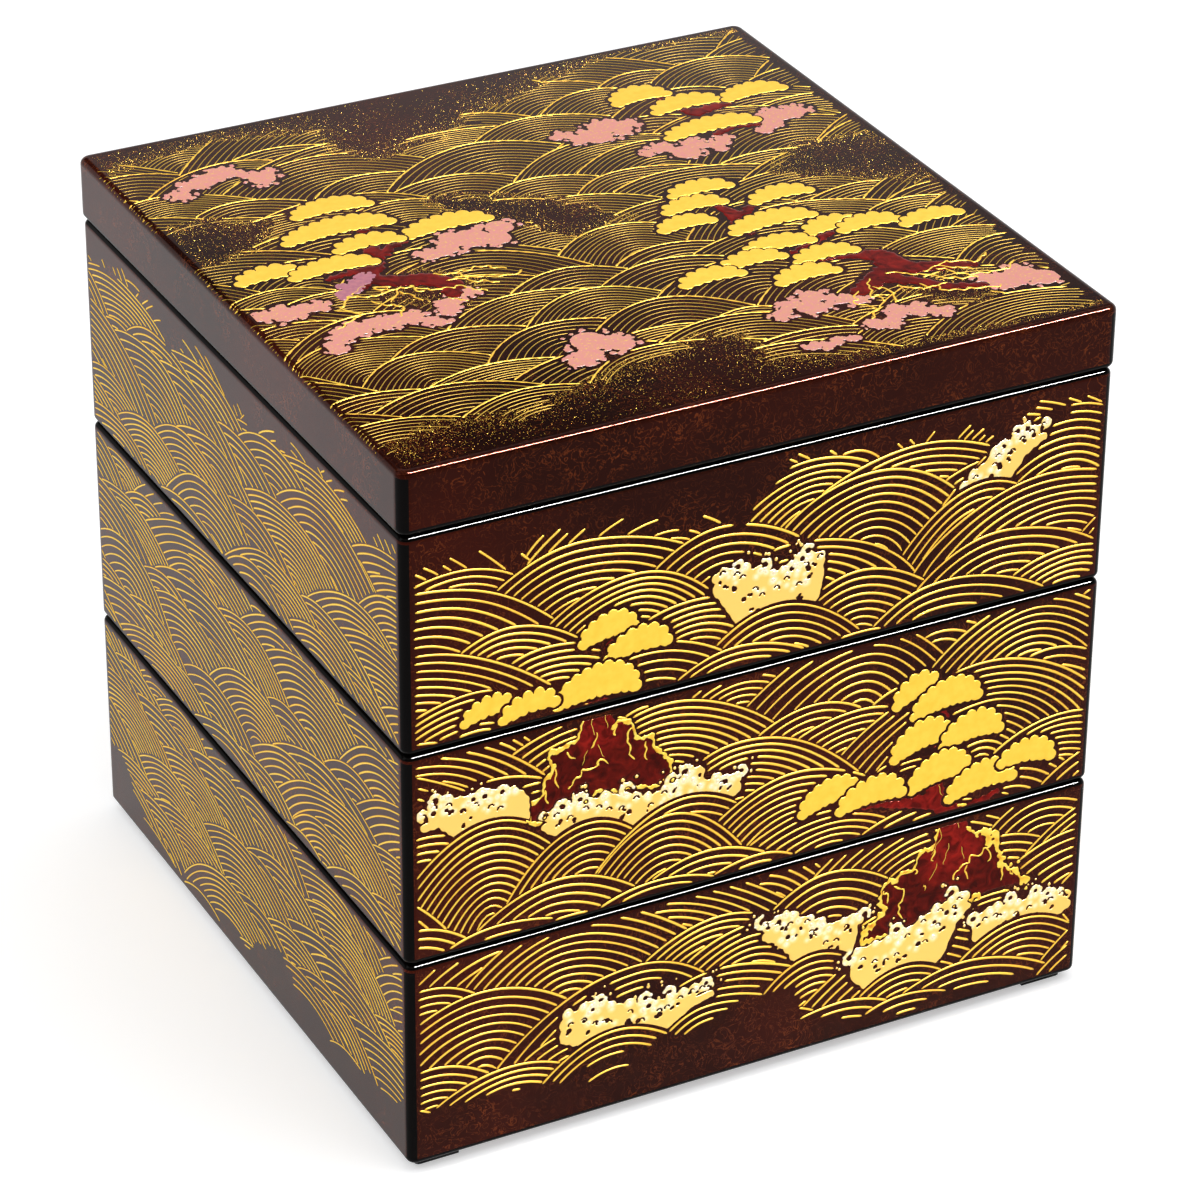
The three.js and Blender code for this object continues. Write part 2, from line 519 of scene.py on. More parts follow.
# %% The field of an outline
def outline_field(outline, u, v):
    """The distance to the nearest side of a polygon, above zero inside it. A point is inside
    if a ray from it crosses the sides an odd number of times."""
    distance = np.full(np.shape(u), 1e3)
    inside = np.zeros(np.shape(u), bool)
    for (u0, v0), (u1, v1) in zip(outline, outline[1:] + outline[:1]):
        du, dv = u1 - u0, v1 - v0
        t = np.clip(((u - u0) * du + (v - v0) * dv) / (du * du + dv * dv), 0, 1)
        distance = np.minimum(distance, np.hypot(u - u0 - t * du, v - v0 - t * dv))
        crosses = (v0 > v) != (v1 > v)
        inside ^= crosses & (u < u0 + (v - v0) * du / (dv if dv else 1e-9))
    return np.where(inside, distance, -distance)


# %% Smooth noise
def ripple(seed, wavelength, u, v):
    """Smooth noise between about -1 and 1: a sum of sine waves in random directions."""
    rng = np.random.default_rng(seed)
    total = 0
    for angle, phase, stretch in rng.random((7, 3)):
        wave = 2 * math.pi / (wavelength * (0.6 + 0.9 * stretch))
        direction = 2 * math.pi * angle
        total = total + np.sin(wave * (u * math.cos(direction) + v * math.sin(direction))
                               + 2 * math.pi * phase)
    return total / 3.2


# %% [markdown]
# ## A film of paint
# A film is a thin body over the part of a face where a field is above zero. The face is cut
# into small triangles, and each triangle that the edge runs through is cut along it, so the
# edge is smooth although the grid is square. The top rises from nothing at the edge to the
# film's thickness. The bottom lies just inside the lacquer and closes the body.

# %% A film from a field
SUNK = 0.04       # how far the paint's underside lies inside the lacquer
SHOULDER = 0.35   # how far from its edge a film reaches its thickness


def film(field, low, high, step, thickness, tone=None):
    """Points of (u, v, height), triangles, and a tone for each point. Edge points lie where
    the field crosses zero between two grid points, by straight interpolation."""
    nu = int(math.ceil((high[0] - low[0]) / step)) + 1
    nv = int(math.ceil((high[1] - low[1]) / step)) + 1
    u, v = np.meshgrid(low[0] + step * np.arange(nu), low[1] + step * np.arange(nv),
                       indexing="ij")
    value = field(u, v)
    value[[0, -1]] = value[:, [0, -1]] = -1
    value = np.where(np.abs(value) < 1e-3 * step, -1e-3 * step, value).ravel()
    spot = np.column_stack([u.ravel(), v.ravel()])
    index = np.arange(nu * nv).reshape(nu, nv)
    a, b, c, d = index[:-1, :-1], index[1:, :-1], index[1:, 1:], index[:-1, 1:]
    triangles = np.concatenate([np.stack([a, b, c], 2), np.stack([a, c, d], 2)])
    triangles = triangles.reshape(-1, 3)
    inside = value[triangles] > 0
    count = inside.sum(1)
    whole = triangles[count == 3]
    one, two = triangles[count == 1], triangles[count == 2]
    turn = np.argmax(inside[count == 1], 1)[:, None]
    p1, q1, r1 = np.take_along_axis(one, (turn + np.arange(3)) % 3, 1).T
    turn = np.argmin(inside[count == 2], 1)[:, None]
    p2, q2, r2 = np.take_along_axis(two, (turn + np.array([1, 2, 0])) % 3, 1).T
    pairs = np.concatenate([np.stack([p1, q1], 1), np.stack([p1, r1], 1),
                            np.stack([q2, r2], 1), np.stack([p2, r2], 1)])
    keys, crossing = np.unique(np.sort(pairs, 1) @ [nu * nv, 1], return_inverse=True)
    crossing = crossing.ravel()
    start, end = keys // (nu * nv), keys % (nu * nv)
    share = (value[start] / (value[start] - value[end]))[:, None]
    edge_spot = spot[start] + share * (spot[end] - spot[start])
    used = np.unique(np.concatenate([whole.ravel(), p1, p2, q2]))
    place = np.full(nu * nv, -1)
    place[used] = np.arange(len(used))
    edge_at = 2 * len(used) + crossing
    n1, n2 = len(one), len(two)
    c_pq, c_pr = edge_at[:n1], edge_at[n1:2 * n1]
    c_qr, c_pr2 = edge_at[2 * n1:2 * n1 + n2], edge_at[2 * n1 + n2:]

    def surface(shift):
        """The triangles of the top or, with a shift of numbers, of the bottom."""
        return np.concatenate([
            place[whole] + shift,
            np.column_stack([place[p1] + shift, c_pq, c_pr]),
            np.column_stack([place[p2] + shift, place[q2] + shift, c_qr]),
            np.column_stack([place[p2] + shift, c_qr, c_pr2]),
        ])

    depth = np.clip(value[used] / SHOULDER, 0, 1)
    rise = thickness * np.sqrt(1 - (1 - depth) ** 2)
    top = np.column_stack([spot[used], rise])
    bottom = np.column_stack([spot[used], np.full(len(used), -2 * SUNK)])
    edge = np.column_stack([edge_spot, np.full(len(edge_spot), -SUNK)])
    points = np.vstack([top, bottom, edge])
    faces = np.vstack([surface(0), surface(len(used))[:, ::-1]])
    tones = tone(points[:, 0], points[:, 1]) if tone else np.zeros(len(points))
    return points, faces, tones


# %% [markdown]
# ## Strokes of gold
# The waves are drawn with a brush loaded with lacquer, and gold powder is sprinkled on while it
# is wet, so each line is a low ridge under a millimetre wide with round tips. A stroke is a
# three-cornered section carried along its path. Hundreds of thousands of points are handled
# at once: all paths are samples in one table, and a mask says which samples are painted.

# %% Strokes from a table of samples
STROKE_STEP = 1.5
TIP = 0.45   # the length over which the end of a stroke narrows


def strokes(u, v, painted, width, height, shortest=2.0, step=STROKE_STEP, seed=1):
    """Ridges along the painted runs of each row of samples. Of each run the first and last
    two samples are kept, and between them one sample a step. The section is a base on the
    left, a ridge and a base on the right. Its width shrinks towards the tips."""
    nothing = np.zeros((0, 3)), np.zeros((0, 3), int), np.zeros(0)
    if not painted.any():
        return nothing
    rows, columns = u.shape
    length = np.hypot(np.diff(u, axis=1), np.diff(v, axis=1))
    travelled = np.column_stack([np.zeros(rows), np.cumsum(length, axis=1)])
    off = np.zeros((rows, 1), bool)
    before = np.hstack([off, painted[:, :-1]])
    after = np.hstack([painted[:, 1:], off])
    starts, ends = painted & ~before, painted & ~after
    run = np.cumsum(starts.ravel()).reshape(rows, columns)
    own_run = np.maximum(run - 1, 0)
    first_at, last_at = travelled[starts], travelled[ends]
    from_tip = np.minimum(travelled - first_at[own_run], last_at[own_run] - travelled)
    long_enough = (last_at - first_at)[own_run] > shortest
    bucket = np.floor(travelled / step)
    new_bucket = np.hstack([~off, bucket[:, 1:] != bucket[:, :-1]])
    near_tip = np.hstack([off, starts[:, :-1]]) | np.hstack([ends[:, 1:], off])
    keep = painted & long_enough & (starts | ends | near_tip | new_bucket)
    if not keep.any():
        return nothing
    at = np.column_stack([u[keep], v[keep]])
    run, tip = run[keep], from_tip[keep]
    same = run[1:] == run[:-1]
    ahead = np.zeros_like(at)
    ahead[:-1][same] += (at[1:] - at[:-1])[same]
    ahead[1:][same] += (at[1:] - at[:-1])[same]
    ahead /= np.maximum(np.hypot(*ahead.T), 1e-9)[:, None]
    across = np.column_stack([-ahead[:, 1], ahead[:, 0]])
    half = width[keep] / 2
    fullness = np.sqrt(np.clip(1 - (1 - np.clip(tip / TIP, 0.12, 1)) ** 2, 0, 1))
    spread = across * (half * fullness)[:, None]
    ridge = height * (0.55 + 0.45 * fullness)
    count = len(at)
    points = np.vstack([np.column_stack([at + spread, np.full(count, -SUNK)]),
                        np.column_stack([at, ridge]),
                        np.column_stack([at - spread, np.full(count, -SUNK)])])
    i = np.nonzero(same)[0]
    left, mid, right = i, i + count, i + 2 * count
    strips = [(left, mid), (mid, right), (right, left)]
    faces = np.vstack([triangles for low, high in strips for triangles in (
        np.column_stack([low, high, high + 1]), np.column_stack([low, high + 1, low + 1]))])
    begin = np.nonzero(np.concatenate([[True], ~same]))[0]
    finish = np.nonzero(np.concatenate([~same, [True]]))[0]
    caps = np.vstack([np.column_stack([begin, begin + 2 * count, begin + count]),
                      np.column_stack([finish, finish + count, finish + 2 * count])])
    rng = np.random.default_rng(seed)
    shade = rng.random(run.max() + 1)[run]
    # A stroke's tone is painted shade at its bases and painted highlight on its ridge, plus a
    # random part for each stroke.
    crest_highlight = np.concatenate([np.zeros(count), np.ones(count), np.zeros(count)])
    tones = crest_highlight * 0.8 + 0.2 * np.tile(shade, 3)
    return points, np.vstack([faces, caps]), tones


# %% [markdown]
# ## Waves
# A wave is a hump with smaller humps inside it, one within the other. Waves overlap like roof
# tiles: each hides what lies behind it and above it, and is hidden by those in front. So the
# waves are laid from the back row to the front row, and a sample of a line is painted only if
# no later wave's outline lies over it.

# %% The waves of one face
SAMPLES = 190          # along each line
WOBBLE = 0.16          # how far a line sways, as a hand's would
LOWERED_SHARE = 0.45   # of its height that a wave may rise past the border and be lowered
BEYOND_SHARE = 1.3     # and that it may rise past it and still show the tips of its lines
LEAN_REACH = 1.3       # a leaning wave reaches at most so many half widths to a side


def lay_waves(low, high, pitch, half_width, height, spacing, seed, shift=0.0,
              fullness=(1.5, 2.2)):
    """Rows of (u, v, left half, right half, height, fullness, lean, spacing), back row first.
    pitch is the distance along a row and between rows. Every other row is moved by a half."""
    rng = np.random.default_rng(seed)
    waves = []
    row_count = int((high[1] - low[1]) / pitch[1]) + 3
    for row in range(row_count):
        v = high[1] - (row - 0.2) * pitch[1]
        offset = pitch[0] * (0.5 * (row % 2) + shift)
        for u in np.arange(low[0] - pitch[0] + offset, high[0] + pitch[0], pitch[0]):
            size = rng.uniform(0.8, 1.25)
            waves.append((
                u + rng.uniform(-0.2, 0.2) * pitch[0],
                v + rng.uniform(-0.28, 0.28) * pitch[1] - height,
                half_width * size * rng.uniform(0.85, 1.25),
                half_width * size * rng.uniform(0.85, 1.25),
                height * size * rng.uniform(0.9, 1.1),
                rng.uniform(*fullness),
                math.radians(rng.normal(0, 4)),
                spacing * rng.uniform(0.78, 1.2),
            ))
    return sorted(waves, key=lambda wave: -wave[1])


# %% Waves at the upper border
def settle(waves, top):
    """Two lists: the waves below the upper border, with those that would rise a little past it
    lowered to it, and the waves just beyond it."""
    settled, beyond = [], []
    for wave in waves:
        at_u, at_v, left, right, height, fullness, lean, spacing = wave
        over = at_v + height - np.interp(at_u, *np.transpose(top))
        if over < LOWERED_SHARE * height:
            lowered = at_v - max(over + 1.0, 0)
            settled.append((at_u, lowered, left, right, height, fullness, lean, spacing))
        elif over < BEYOND_SHARE * height:
            beyond.append(wave)
    return settled, beyond


# %% The shape of one wave
def hump(wave, u):
    """The height of a wave's outline in its own frame: the height times one less the square
    of the share of its half width, to a power that gives it soft or steep flanks."""
    _, _, left, right, height, fullness = wave[:6]
    share = np.where(u < 0, u / left, u / right)
    return height * np.clip(1 - share ** 2, 0, None) ** (fullness / 2)


def turn_and_move(x, y, u, v, angle):
    """Points turned by an angle in radians and then moved to (u, v)."""
    return (u + x * math.cos(angle) - y * math.sin(angle),
            v + x * math.sin(angle) + y * math.cos(angle))


def under_outline(wave, u, v):
    """How far places lie below a wave's outline, seen in the wave's own frame, and whether
    they are within its width."""
    at_u, at_v, left, right, _, _, lean, _ = wave
    du, dv = u - at_u, v - at_v
    own_u = du * math.cos(lean) + dv * math.sin(lean)
    own_v = -du * math.sin(lean) + dv * math.cos(lean)
    return hump(wave, own_u) - own_v, (own_u > -left) & (own_u < right)


# %% The lines of all waves
def wave_lines(waves):
    """Samples of every line: (u, v) tables with one row a line, each line's wave and its rank
    in it. Line k is the outline drawn smaller by k times the spacing over the height. A
    sample's place on the half width is a cosine, which puts more samples on steep flanks."""
    all_u, all_v, owner, rank = [], [], [], []
    sweep = -np.cos(np.linspace(0, math.pi, SAMPLES))
    for number, wave in enumerate(waves):
        at_u, at_v, left, right, height, fullness, lean, spacing = wave
        count = int(height / spacing)
        scale = 1 - np.arange(count)[:, None] * spacing / height
        phase = number * 2.4 + np.arange(count)[:, None] * 0.7
        across = sweep * np.where(sweep < 0, left, right)
        u = scale * across
        v = scale * hump(wave, across) + WOBBLE * np.sin(u / 5.5 + phase)
        u, v = turn_and_move(u, v, at_u, at_v, lean)
        all_u.append(u)
        all_v.append(v)
        owner.append(np.full(count, number))
        rank.append(np.arange(count))
    return np.vstack(all_u), np.vstack(all_v), np.concatenate(owner), np.concatenate(rank)


# %% What the waves hide
def waves_field(waves, u, v):
    """Above zero where some wave lies: the outline's height less the place's own height, times
    three quarters because the flanks are slanted."""
    best = np.full(np.shape(u), -FAR)
    for wave in waves:
        depth, within = under_outline(wave, u, v)
        best = np.maximum(best, np.where(within, 0.75 * depth, -FAR))
    return best


def uncovered(waves, u, v, owner, gap):
    """True where no later wave lies over the sample, with a small gap at its outline."""
    clear = np.ones(u.shape, bool)
    for number, wave in enumerate(waves):
        at_u, _, left, right = wave[:4]
        near = (owner < number) & (u.max(1) > at_u - LEAN_REACH * left)
        near &= u.min(1) < at_u + LEAN_REACH * right
        depth, within = under_outline(wave, u[near], v[near])
        clear[near] &= ~(within & (depth > -gap))
    return clear


# %% [markdown]
# ## Where the waves stop
# On each face the waves fill a region with a wavy border, and beyond it the lacquer is bare.
# The lines don't end at one level there: each runs on a little more or less. Along the top the
# waves behind the last row show only short stubs of their lines, a fringe of loose tips.

# %% The regions of the four sides
FRONT_TOP = [(0, 166), (14, 169), (41, 171), (60, 168), (81, 165), (91, 161), (99, 169),
             (107, 176), (144, 172), (165, 171), (182, 173), (196, 176)]
FRONT_BOTTOM = [(0, 17), (24, 14), (40, 12), (57, 14), (69, 16), (86, 21), (105, 23),
                (111, 19), (111, 12), (127, 5), (153, 5), (171, 4.5), (196, 3)]
LEFT_TOP = [(0, 175), (12, 170), (46, 176), (57, 166), (74, 177), (93, 175), (108, 169),
            (138, 173), (156, 176), (196, 174)]
LEFT_BOTTOM = [(0, 21), (14, 17), (29, 6), (58, 5), (86, 7), (96, 5), (112, 17), (128, 14),
               (150, 9), (173, 13), (196, 17)]
RIGHT_TOP = [(0, 175), (30, 171), (64, 176), (90, 166), (118, 174), (150, 170), (196, 175)]
RIGHT_BOTTOM = [(0, 4), (40, 10), (80, 19), (120, 14), (160, 6), (196, 16)]
BACK_TOP = [(0, 174), (36, 168), (80, 174), (120, 176), (160, 168), (196, 174)]
BACK_BOTTOM = [(0, 16), (50, 8), (90, 14), (140, 22), (170, 10), (196, 20)]


def between(top, bottom, u, v, ragged):
    """True between two borders, each moved by the line's own ragged share."""
    ceiling = np.interp(u, *np.transpose(top)) + ragged
    floor = np.interp(u, *np.transpose(bottom)) - ragged
    return (v < ceiling) & (v > floor)


# %% [markdown]
# ## Pines
# A pine here is a set of flat cushions of gold, scalloped along the top, each with a dark gap
# round it where the lacquer shows. A cushion is dabs on three arcs: a row of small ones along
# the dome, larger ones inside it, and small ones along the underside.

# %% A cushion of pine needles
FULL_LOBES_FROM = 8   # lower cushions have smaller lobes


def pine_cushion(u, v, length, height, tilt, lobe_pitch=2.9):
    """Dabs of (u, v, radius). The outer ones stand at even steps along the upper half of an
    ellipse that is a little higher on the right. Smaller copies of that arc fill the inside,
    and the lower ones lie on a line that is raised in its middle."""
    lobe = 0.56 * lobe_pitch * min(1, height / FULL_LOBES_FROM)
    across, rise = length / 2 - lobe, height - 2 * lobe
    turn = np.linspace(math.pi, 0, 90)
    arc_x = across * np.cos(turn)
    arc_y = rise * np.sin(turn) * (1 + 0.16 * np.cos(turn))
    along = np.concatenate([[0], np.cumsum(np.hypot(np.diff(arc_x), np.diff(arc_y)))])
    even = np.linspace(0, along[-1], max(5, int(round(along[-1] / lobe_pitch)) + 1))
    arc_x, arc_y = np.interp(even, along, arc_x), np.interp(even, along, arc_y)
    base = np.linspace(-0.94, 0.94, len(even) - 1)
    x = np.concatenate([arc_x, 0.78 * arc_x, 0.5 * arc_x, across * base])
    y = np.concatenate([arc_y + lobe, 0.62 * arc_y + 0.27 * height, 0.3 * arc_y + 0.3 * height,
                        lobe * 0.75 + 0.12 * height * (1 - base ** 2)])
    radius = np.concatenate([lobe * np.linspace(0.86, 1.04, len(even)),
                             np.full(len(even), height * 0.20),
                             np.full(len(even), height * 0.22),
                             np.full(len(base), lobe * 0.9)])
    x, y = turn_and_move(x, y - height / 2, u, v, math.radians(tilt))
    return np.column_stack([x, y, radius])


# %% The cushions of the front and the lid
FRONT_CUSHIONS = [  # along, up, length, height, tilt; a later one lies over an earlier one
    (54.5, 142.5, 17.5, 8.5, 6), (62.5, 136.5, 19.5, 8.5, 5), (51.5, 127.6, 25, 11, 1),
    (22, 128.4, 16, 7, 9), (33, 126.6, 17.5, 7.5, 7),
    (142, 102, 16, 8.5, 16), (151, 97.5, 22, 10, 6), (144, 87, 20, 10, 12),
    (159, 86, 20, 10, 5), (150, 76, 20.5, 10.5, 7), (162.5, 70, 22.5, 10, 6),
    (176.5, 74, 18.5, 8.5, -5), (117.5, 77.5, 19.5, 9, 11), (130, 74.5, 21.5, 9.5, 3),
]
LID_CUSHIONS = [
    (-53, 41, 24, 10, 0), (-57, 29, 33, 11, 2), (-31, 19, 27, 10, 3), (-53, 18, 21, 9, 0),
    (-83, 12, 20, 9.5, 0), (-67, 9, 26, 9.5, 1),
    (37, 9, 20, 9, 0), (31, 1, 20, 9, 0), (24, -8, 18, 8.5, 2), (54, -3, 20, 9, 2),
    (44, -16, 27, 10, 3), (57, -25, 19, 9.5, 2), (66, -28, 20, 9, 0), (82, -32, 20, 8, 2),
    (39, -29, 22, 9.5, 2), (29, -34, 20, 9, 2), (47, -39, 20, 9, 2), (15, -38, 20, 9, 2),
    (37, -47, 20, 9.5, 3),
    (50, 68, 19, 11, 3), (59, 58, 23, 10, 2), (79, 57, 21, 9.5, 2), (58, 42, 30, 10, 2),
]
CUSHION_GAP = 0.65       # bare lacquer round a cushion of the front
LID_CUSHION_GAP = 0.35   # and round one of the lid

front_cushions = [pine_cushion(*values) for values in FRONT_CUSHIONS]
lid_cushions = [pine_cushion(*values, lobe_pitch=3.4) for values in LID_CUSHIONS]
print("pine cushions:", len(front_cushions), "on the front,", len(lid_cushions), "on the lid")


def front_pines_field(u, v):
    """All cushions of the front side as one field."""
    return dabs_field(np.vstack(front_cushions), u, v)


def lid_pines_field(u, v):
    """All cushions of the lid as one field."""
    return dabs_field(np.vstack(lid_cushions), u, v)

# %% [markdown]
# ## Trunks and rocks
# Trunks and rocks are one mass of red-brown lacquer, edged with a jagged gold line. The mass is
# an outline of a few corners, roughened by noise, and the trunk above it is a chain of dabs
# that grow thicker downwards.

# %% Red masses
CHAIN_STEP = 0.6


def chain(*stations):
    """Dabs along a path through stations of (u, v, radius), about half a millimetre apart."""
    stations = np.array(stations, float)
    length = np.hypot(*np.diff(stations[:, :2], axis=0).T)
    at = np.concatenate([[0], np.cumsum(length)])
    steps = np.linspace(0, at[-1], int(at[-1] / CHAIN_STEP) + 2)
    return np.column_stack([np.interp(steps, at, column) for column in stations.T])


# %% The outlines of the rocks and the paths of the trunks
FRONT_ROCKS = [
    [(49, 121), (46, 114), (41, 111), (40, 107), (37, 104), (36, 100), (34, 98), (33, 92),
     (42, 92), (52, 95), (60, 95), (73, 94), (71, 102), (69, 105), (67, 108), (62, 109),
     (61, 113), (56, 115), (55, 121)],
    [(151, 62), (150, 54), (146, 51), (143, 49), (139, 45), (134, 43), (134, 37), (129, 29),
     (138, 28), (146, 28), (154, 33), (163, 32), (179, 30), (175, 39), (171, 41), (169, 47),
     (167, 51), (161, 54), (158, 62)],
]
FRONT_TRUNKS = np.vstack([
    chain((57, 141, 1.2), (55, 136, 1.3), (54, 131, 1.5), (52, 122, 2.6), (52, 115, 4.5)),
    chain((44, 121, 0.8), (48, 119, 1.2), (52, 118, 2.0)),
    chain((148, 96, 1.3), (151, 91, 1.7), (147, 84, 1.6), (149, 78, 1.8), (148, 72, 2.2),
          (152, 65, 3.0), (155, 58, 4.0), (155, 50, 6.0)),
    chain((124, 71, 0.7), (134, 70, 1.5), (142, 68, 2.0), (150, 66, 2.5)),
    chain((168, 64, 0.8), (162, 62, 1.4), (156, 60, 2.4)),
])
LID_TRUNKS = np.vstack([
    chain((-57, 33, 0.7), (-52, 29, 0.9), (-50, 22, 1.2), (-53, 13, 1.8), (-57, 4, 2.3),
          (-62, -2, 2.6), (-66, -5, 2.2)),
    chain((-40, 15, 0.6), (-48, 12, 1.0), (-54, 8, 1.6)),
    chain((-62, -2, 2.4), (-56, -6, 2.6), (-48, -9, 3.0), (-44, -14, 2.6), (-46, -19, 1.6)),
    chain((-70, 2, 0.6), (-64, 3, 1.0), (-58, 3, 1.6)),
    chain((35, 0, 0.8), (38, -8, 1.3), (37, -14, 1.6), (36, -21, 1.2)),
    chain((46, -6, 0.7), (41, -10, 1.1), (37, -13, 1.4)),
    chain((60, -28, 1.0), (52, -31, 1.2), (46, -34, 1.3), (40, -37, 1.0)),
    chain((45, -42, 1.2), (53, -43, 2.0), (60, -48, 3.0), (58, -55, 3.2), (49, -60, 2.6),
          (44, -63, 1.6)),
    chain((60, -50, 2.8), (63, -57, 2.6), (70, -59, 2.2), (78, -62, 1.0)),
    chain((53, -58, 2.5), (60, -64, 1.8), (66, -70, 1.3), (74, -73, 0.7)),
    chain((55, 62, 0.8), (57, 54, 1.3), (59, 50, 1.8), (68, 52, 1.5), (74, 54, 0.8)),
    chain((58, 36, 0.8), (64, 38, 1.0), (70, 37, 1.2)),
])

# %% The fields of the red masses
ROCK_LEVELS = (98, 37)   # waves whose crests are lower lie before the rock
ROCK_SPLIT = 75          # the height between the two rocks
LID_RED_GAP = 0.4        # bare lacquer between the lid's cushions and what they cut


def rocks_field(u, v):
    """The rocks, with an edge made rough by a long and a short noise."""
    rocks = np.maximum(*(outline_field(rock, u, v) for rock in FRONT_ROCKS))
    return rocks + 1.3 * ripple(31, 7.0, u, v) + 0.42 * ripple(33, 2.8, u, v)


def front_red(u, v):
    """The rocks joined with the trunks, cut by the cushions before them."""
    trunks = dabs_field(FRONT_TRUNKS, u, v) + 0.25 * ripple(34, 3.0, u, v)
    shape = np.maximum(rocks_field(u, v), trunks)
    return np.minimum(shape, -front_pines_field(u, v) - CUSHION_GAP)


def redness(u, v):
    """One on the trunks, falling as far as the field reaches, to dark rock like the ground."""
    return np.clip(1 + dabs_field(FRONT_TRUNKS, u, v) / (FAR + 1.5), 0, 1)


def lid_red(u, v):
    """The trunks of the lid with a rough edge, cut by the cushions before them."""
    shape = dabs_field(LID_TRUNKS, u, v) + 0.5 + 0.45 * ripple(32, 2.6, u, v)
    return np.minimum(shape, -lid_pines_field(u, v) - LID_RED_GAP)


# %% [markdown]
# ## Foam
# Foam leaps up where a wave meets a rock. Each spray is a pale gold body that follows a line, with
# lobes like a cauliflower along its upper edge. Some lobes carry a curl, a ring with a dark eye,
# and loose drops fly off it. Raised beads sit on the lobes and on the backs of the curls; their
# white, and the paler gold of the foam round them, is painted highlight. The foot of a spray
# stands behind the next waves, so those cut it off.

# %% Sprays of foam
FRONT_FOAM = [  # the level, and a line of (along, up, radius)
    (98, [(5, 102, 1.0), (10, 103.5, 2.6), (16, 100.5, 4.6), (23, 98.5, 6.6), (28, 98, 5.6)]),
    (93, [(38, 93, 1.3), (44, 90.5, 2.8), (50, 90, 4.6), (56, 90, 4.4), (63, 89, 3.0)]),
    (90, [(67, 88, 3.2), (72, 86.5, 6.0), (78, 87, 5.2), (84, 87.5, 3.6), (91, 89.5, 1.6)]),
    (90, [(77, 89, 3.6), (80, 94, 2.0)]),
    (139, [(85, 148, 2.0), (89, 146, 4.0), (95, 141, 6.6), (102, 139, 7.0), (108, 141, 5.4),
           (112, 146, 2.4)]),
    (158, [(155.5, 155, 2.2), (160, 158, 4.0), (165, 162, 3.6), (170, 166, 2.0),
           (176, 168.5, 1.1)]),
    (31, [(101, 42, 1.5), (105, 41.5, 2.8), (111, 37.5, 4.6), (116, 32, 6.4), (121, 31.5, 5.8),
          (125.5, 36, 2.6)]),
    (25, [(130, 23, 4.0), (136, 21, 6.8), (143, 20.5, 7.6), (149, 25, 6.6), (155, 31, 3.2),
          (160, 34, 1.6)]),
    (24, [(166, 24, 3.4), (172, 24, 4.0), (178, 23.5, 4.2), (185, 25, 3.4), (191, 25.5, 1.8)]),
    (27, [(45, 29.5, 3.2), (50, 29, 4.8), (58, 26, 5.6), (66, 24.5, 5.0), (72, 26, 3.2),
          (79, 28.5, 1.6), (85, 29.5, 1.0)]),
]


# %% The parts of one spray
def spray_parts(stations, seed):
    """Solid dabs, holes and beads of one spray. The body is a chain of dabs with a foot below
    it. Lobes crowd on the upper rim of the body, each at its place plus the radius in a
    direction near up, and small pits open the body below them. Every fourth lobe carries a
    curl: an arc round an eye that stays open, at the curl's middle plus its reach, with beads
    on its back and drops flying off it."""
    rng = np.random.default_rng(seed)
    body = chain(*stations)
    foot = body - [0, 3.0, 0]
    solid, holes, beads = [body, foot], [], []
    for number, (u, v, radius) in enumerate(body[::3]):
        way = math.radians(90 + rng.uniform(-75, 75))
        out = np.array([math.cos(way), math.sin(way)])
        edge = np.array([u, v]) + out * (radius - 0.2)
        size = rng.uniform(0.95, 2.0)
        solid.append([(*edge, size)])
        beads.append((*(edge + 0.3 * size * out), min(rng.uniform(0.38, 0.6) * size, 0.72)))
        if number % 4 == 1:
            reach = rng.uniform(1.25, 1.7)
            middle = edge + out * reach * 1.25
            hand = rng.choice([-1, 1])
            angle = way + math.pi + hand * np.linspace(0.0, rng.uniform(4.0, 5.0), 9)
            arc = middle + reach * np.column_stack([np.cos(angle), np.sin(angle)])
            solid.append(chain(*np.column_stack([arc, np.linspace(0.85, 0.55, 9)])))
            holes.append([(*middle, 0.42 * reach)])
            for back in arc[2::2]:
                beads.append((*(middle + 1.15 * (back - middle)), rng.uniform(0.36, 0.6)))
            for _ in range(3):
                angle = way + rng.uniform(-1.2, 1.2)
                far = middle + (reach + rng.uniform(1.2, 3.0)) * np.array(
                    [math.cos(angle), math.sin(angle)])
                solid.append([(*far, rng.uniform(0.3, 0.55))])
        if number % 3 != 1:
            pit = np.array([u, v]) + radius * rng.uniform((-0.6, -0.75), (0.6, 0.1))
            lean = rng.uniform(-0.8, 0.8, 2)
            holes.append([(*pit, rng.uniform(0.4, 0.75)), (*(pit + lean), 0.4)])
        if number % 2 == 0:
            low = np.array([u, v]) + out * rng.uniform(-0.2, 0.75) * radius
            arc = np.linspace(0.2, 2.8, 5) + rng.uniform(-0.5, 0.5)
            holes.append(np.column_stack([low[0] + 0.75 * np.cos(arc), low[1] + 0.75 * np.sin(arc),
                                          np.full(5, 0.27)]))
        inside = np.array([u, v]) + out * rng.uniform(0.1, 0.8) * radius
        beads.append((*inside, rng.uniform(0.14, 0.30)))
    return np.vstack(solid), np.vstack(holes), np.array(beads)


sprays = [(level, *spray_parts(stations, 50 + number))
          for number, (level, stations) in enumerate(FRONT_FOAM)]
print("foam:", len(sprays), "sprays with", sum(len(s[3]) for s in sprays), "beads")


# %% The waves before the foam
EXTRA_DEPTH = 7.0   # how much further down the waves before the foam reach


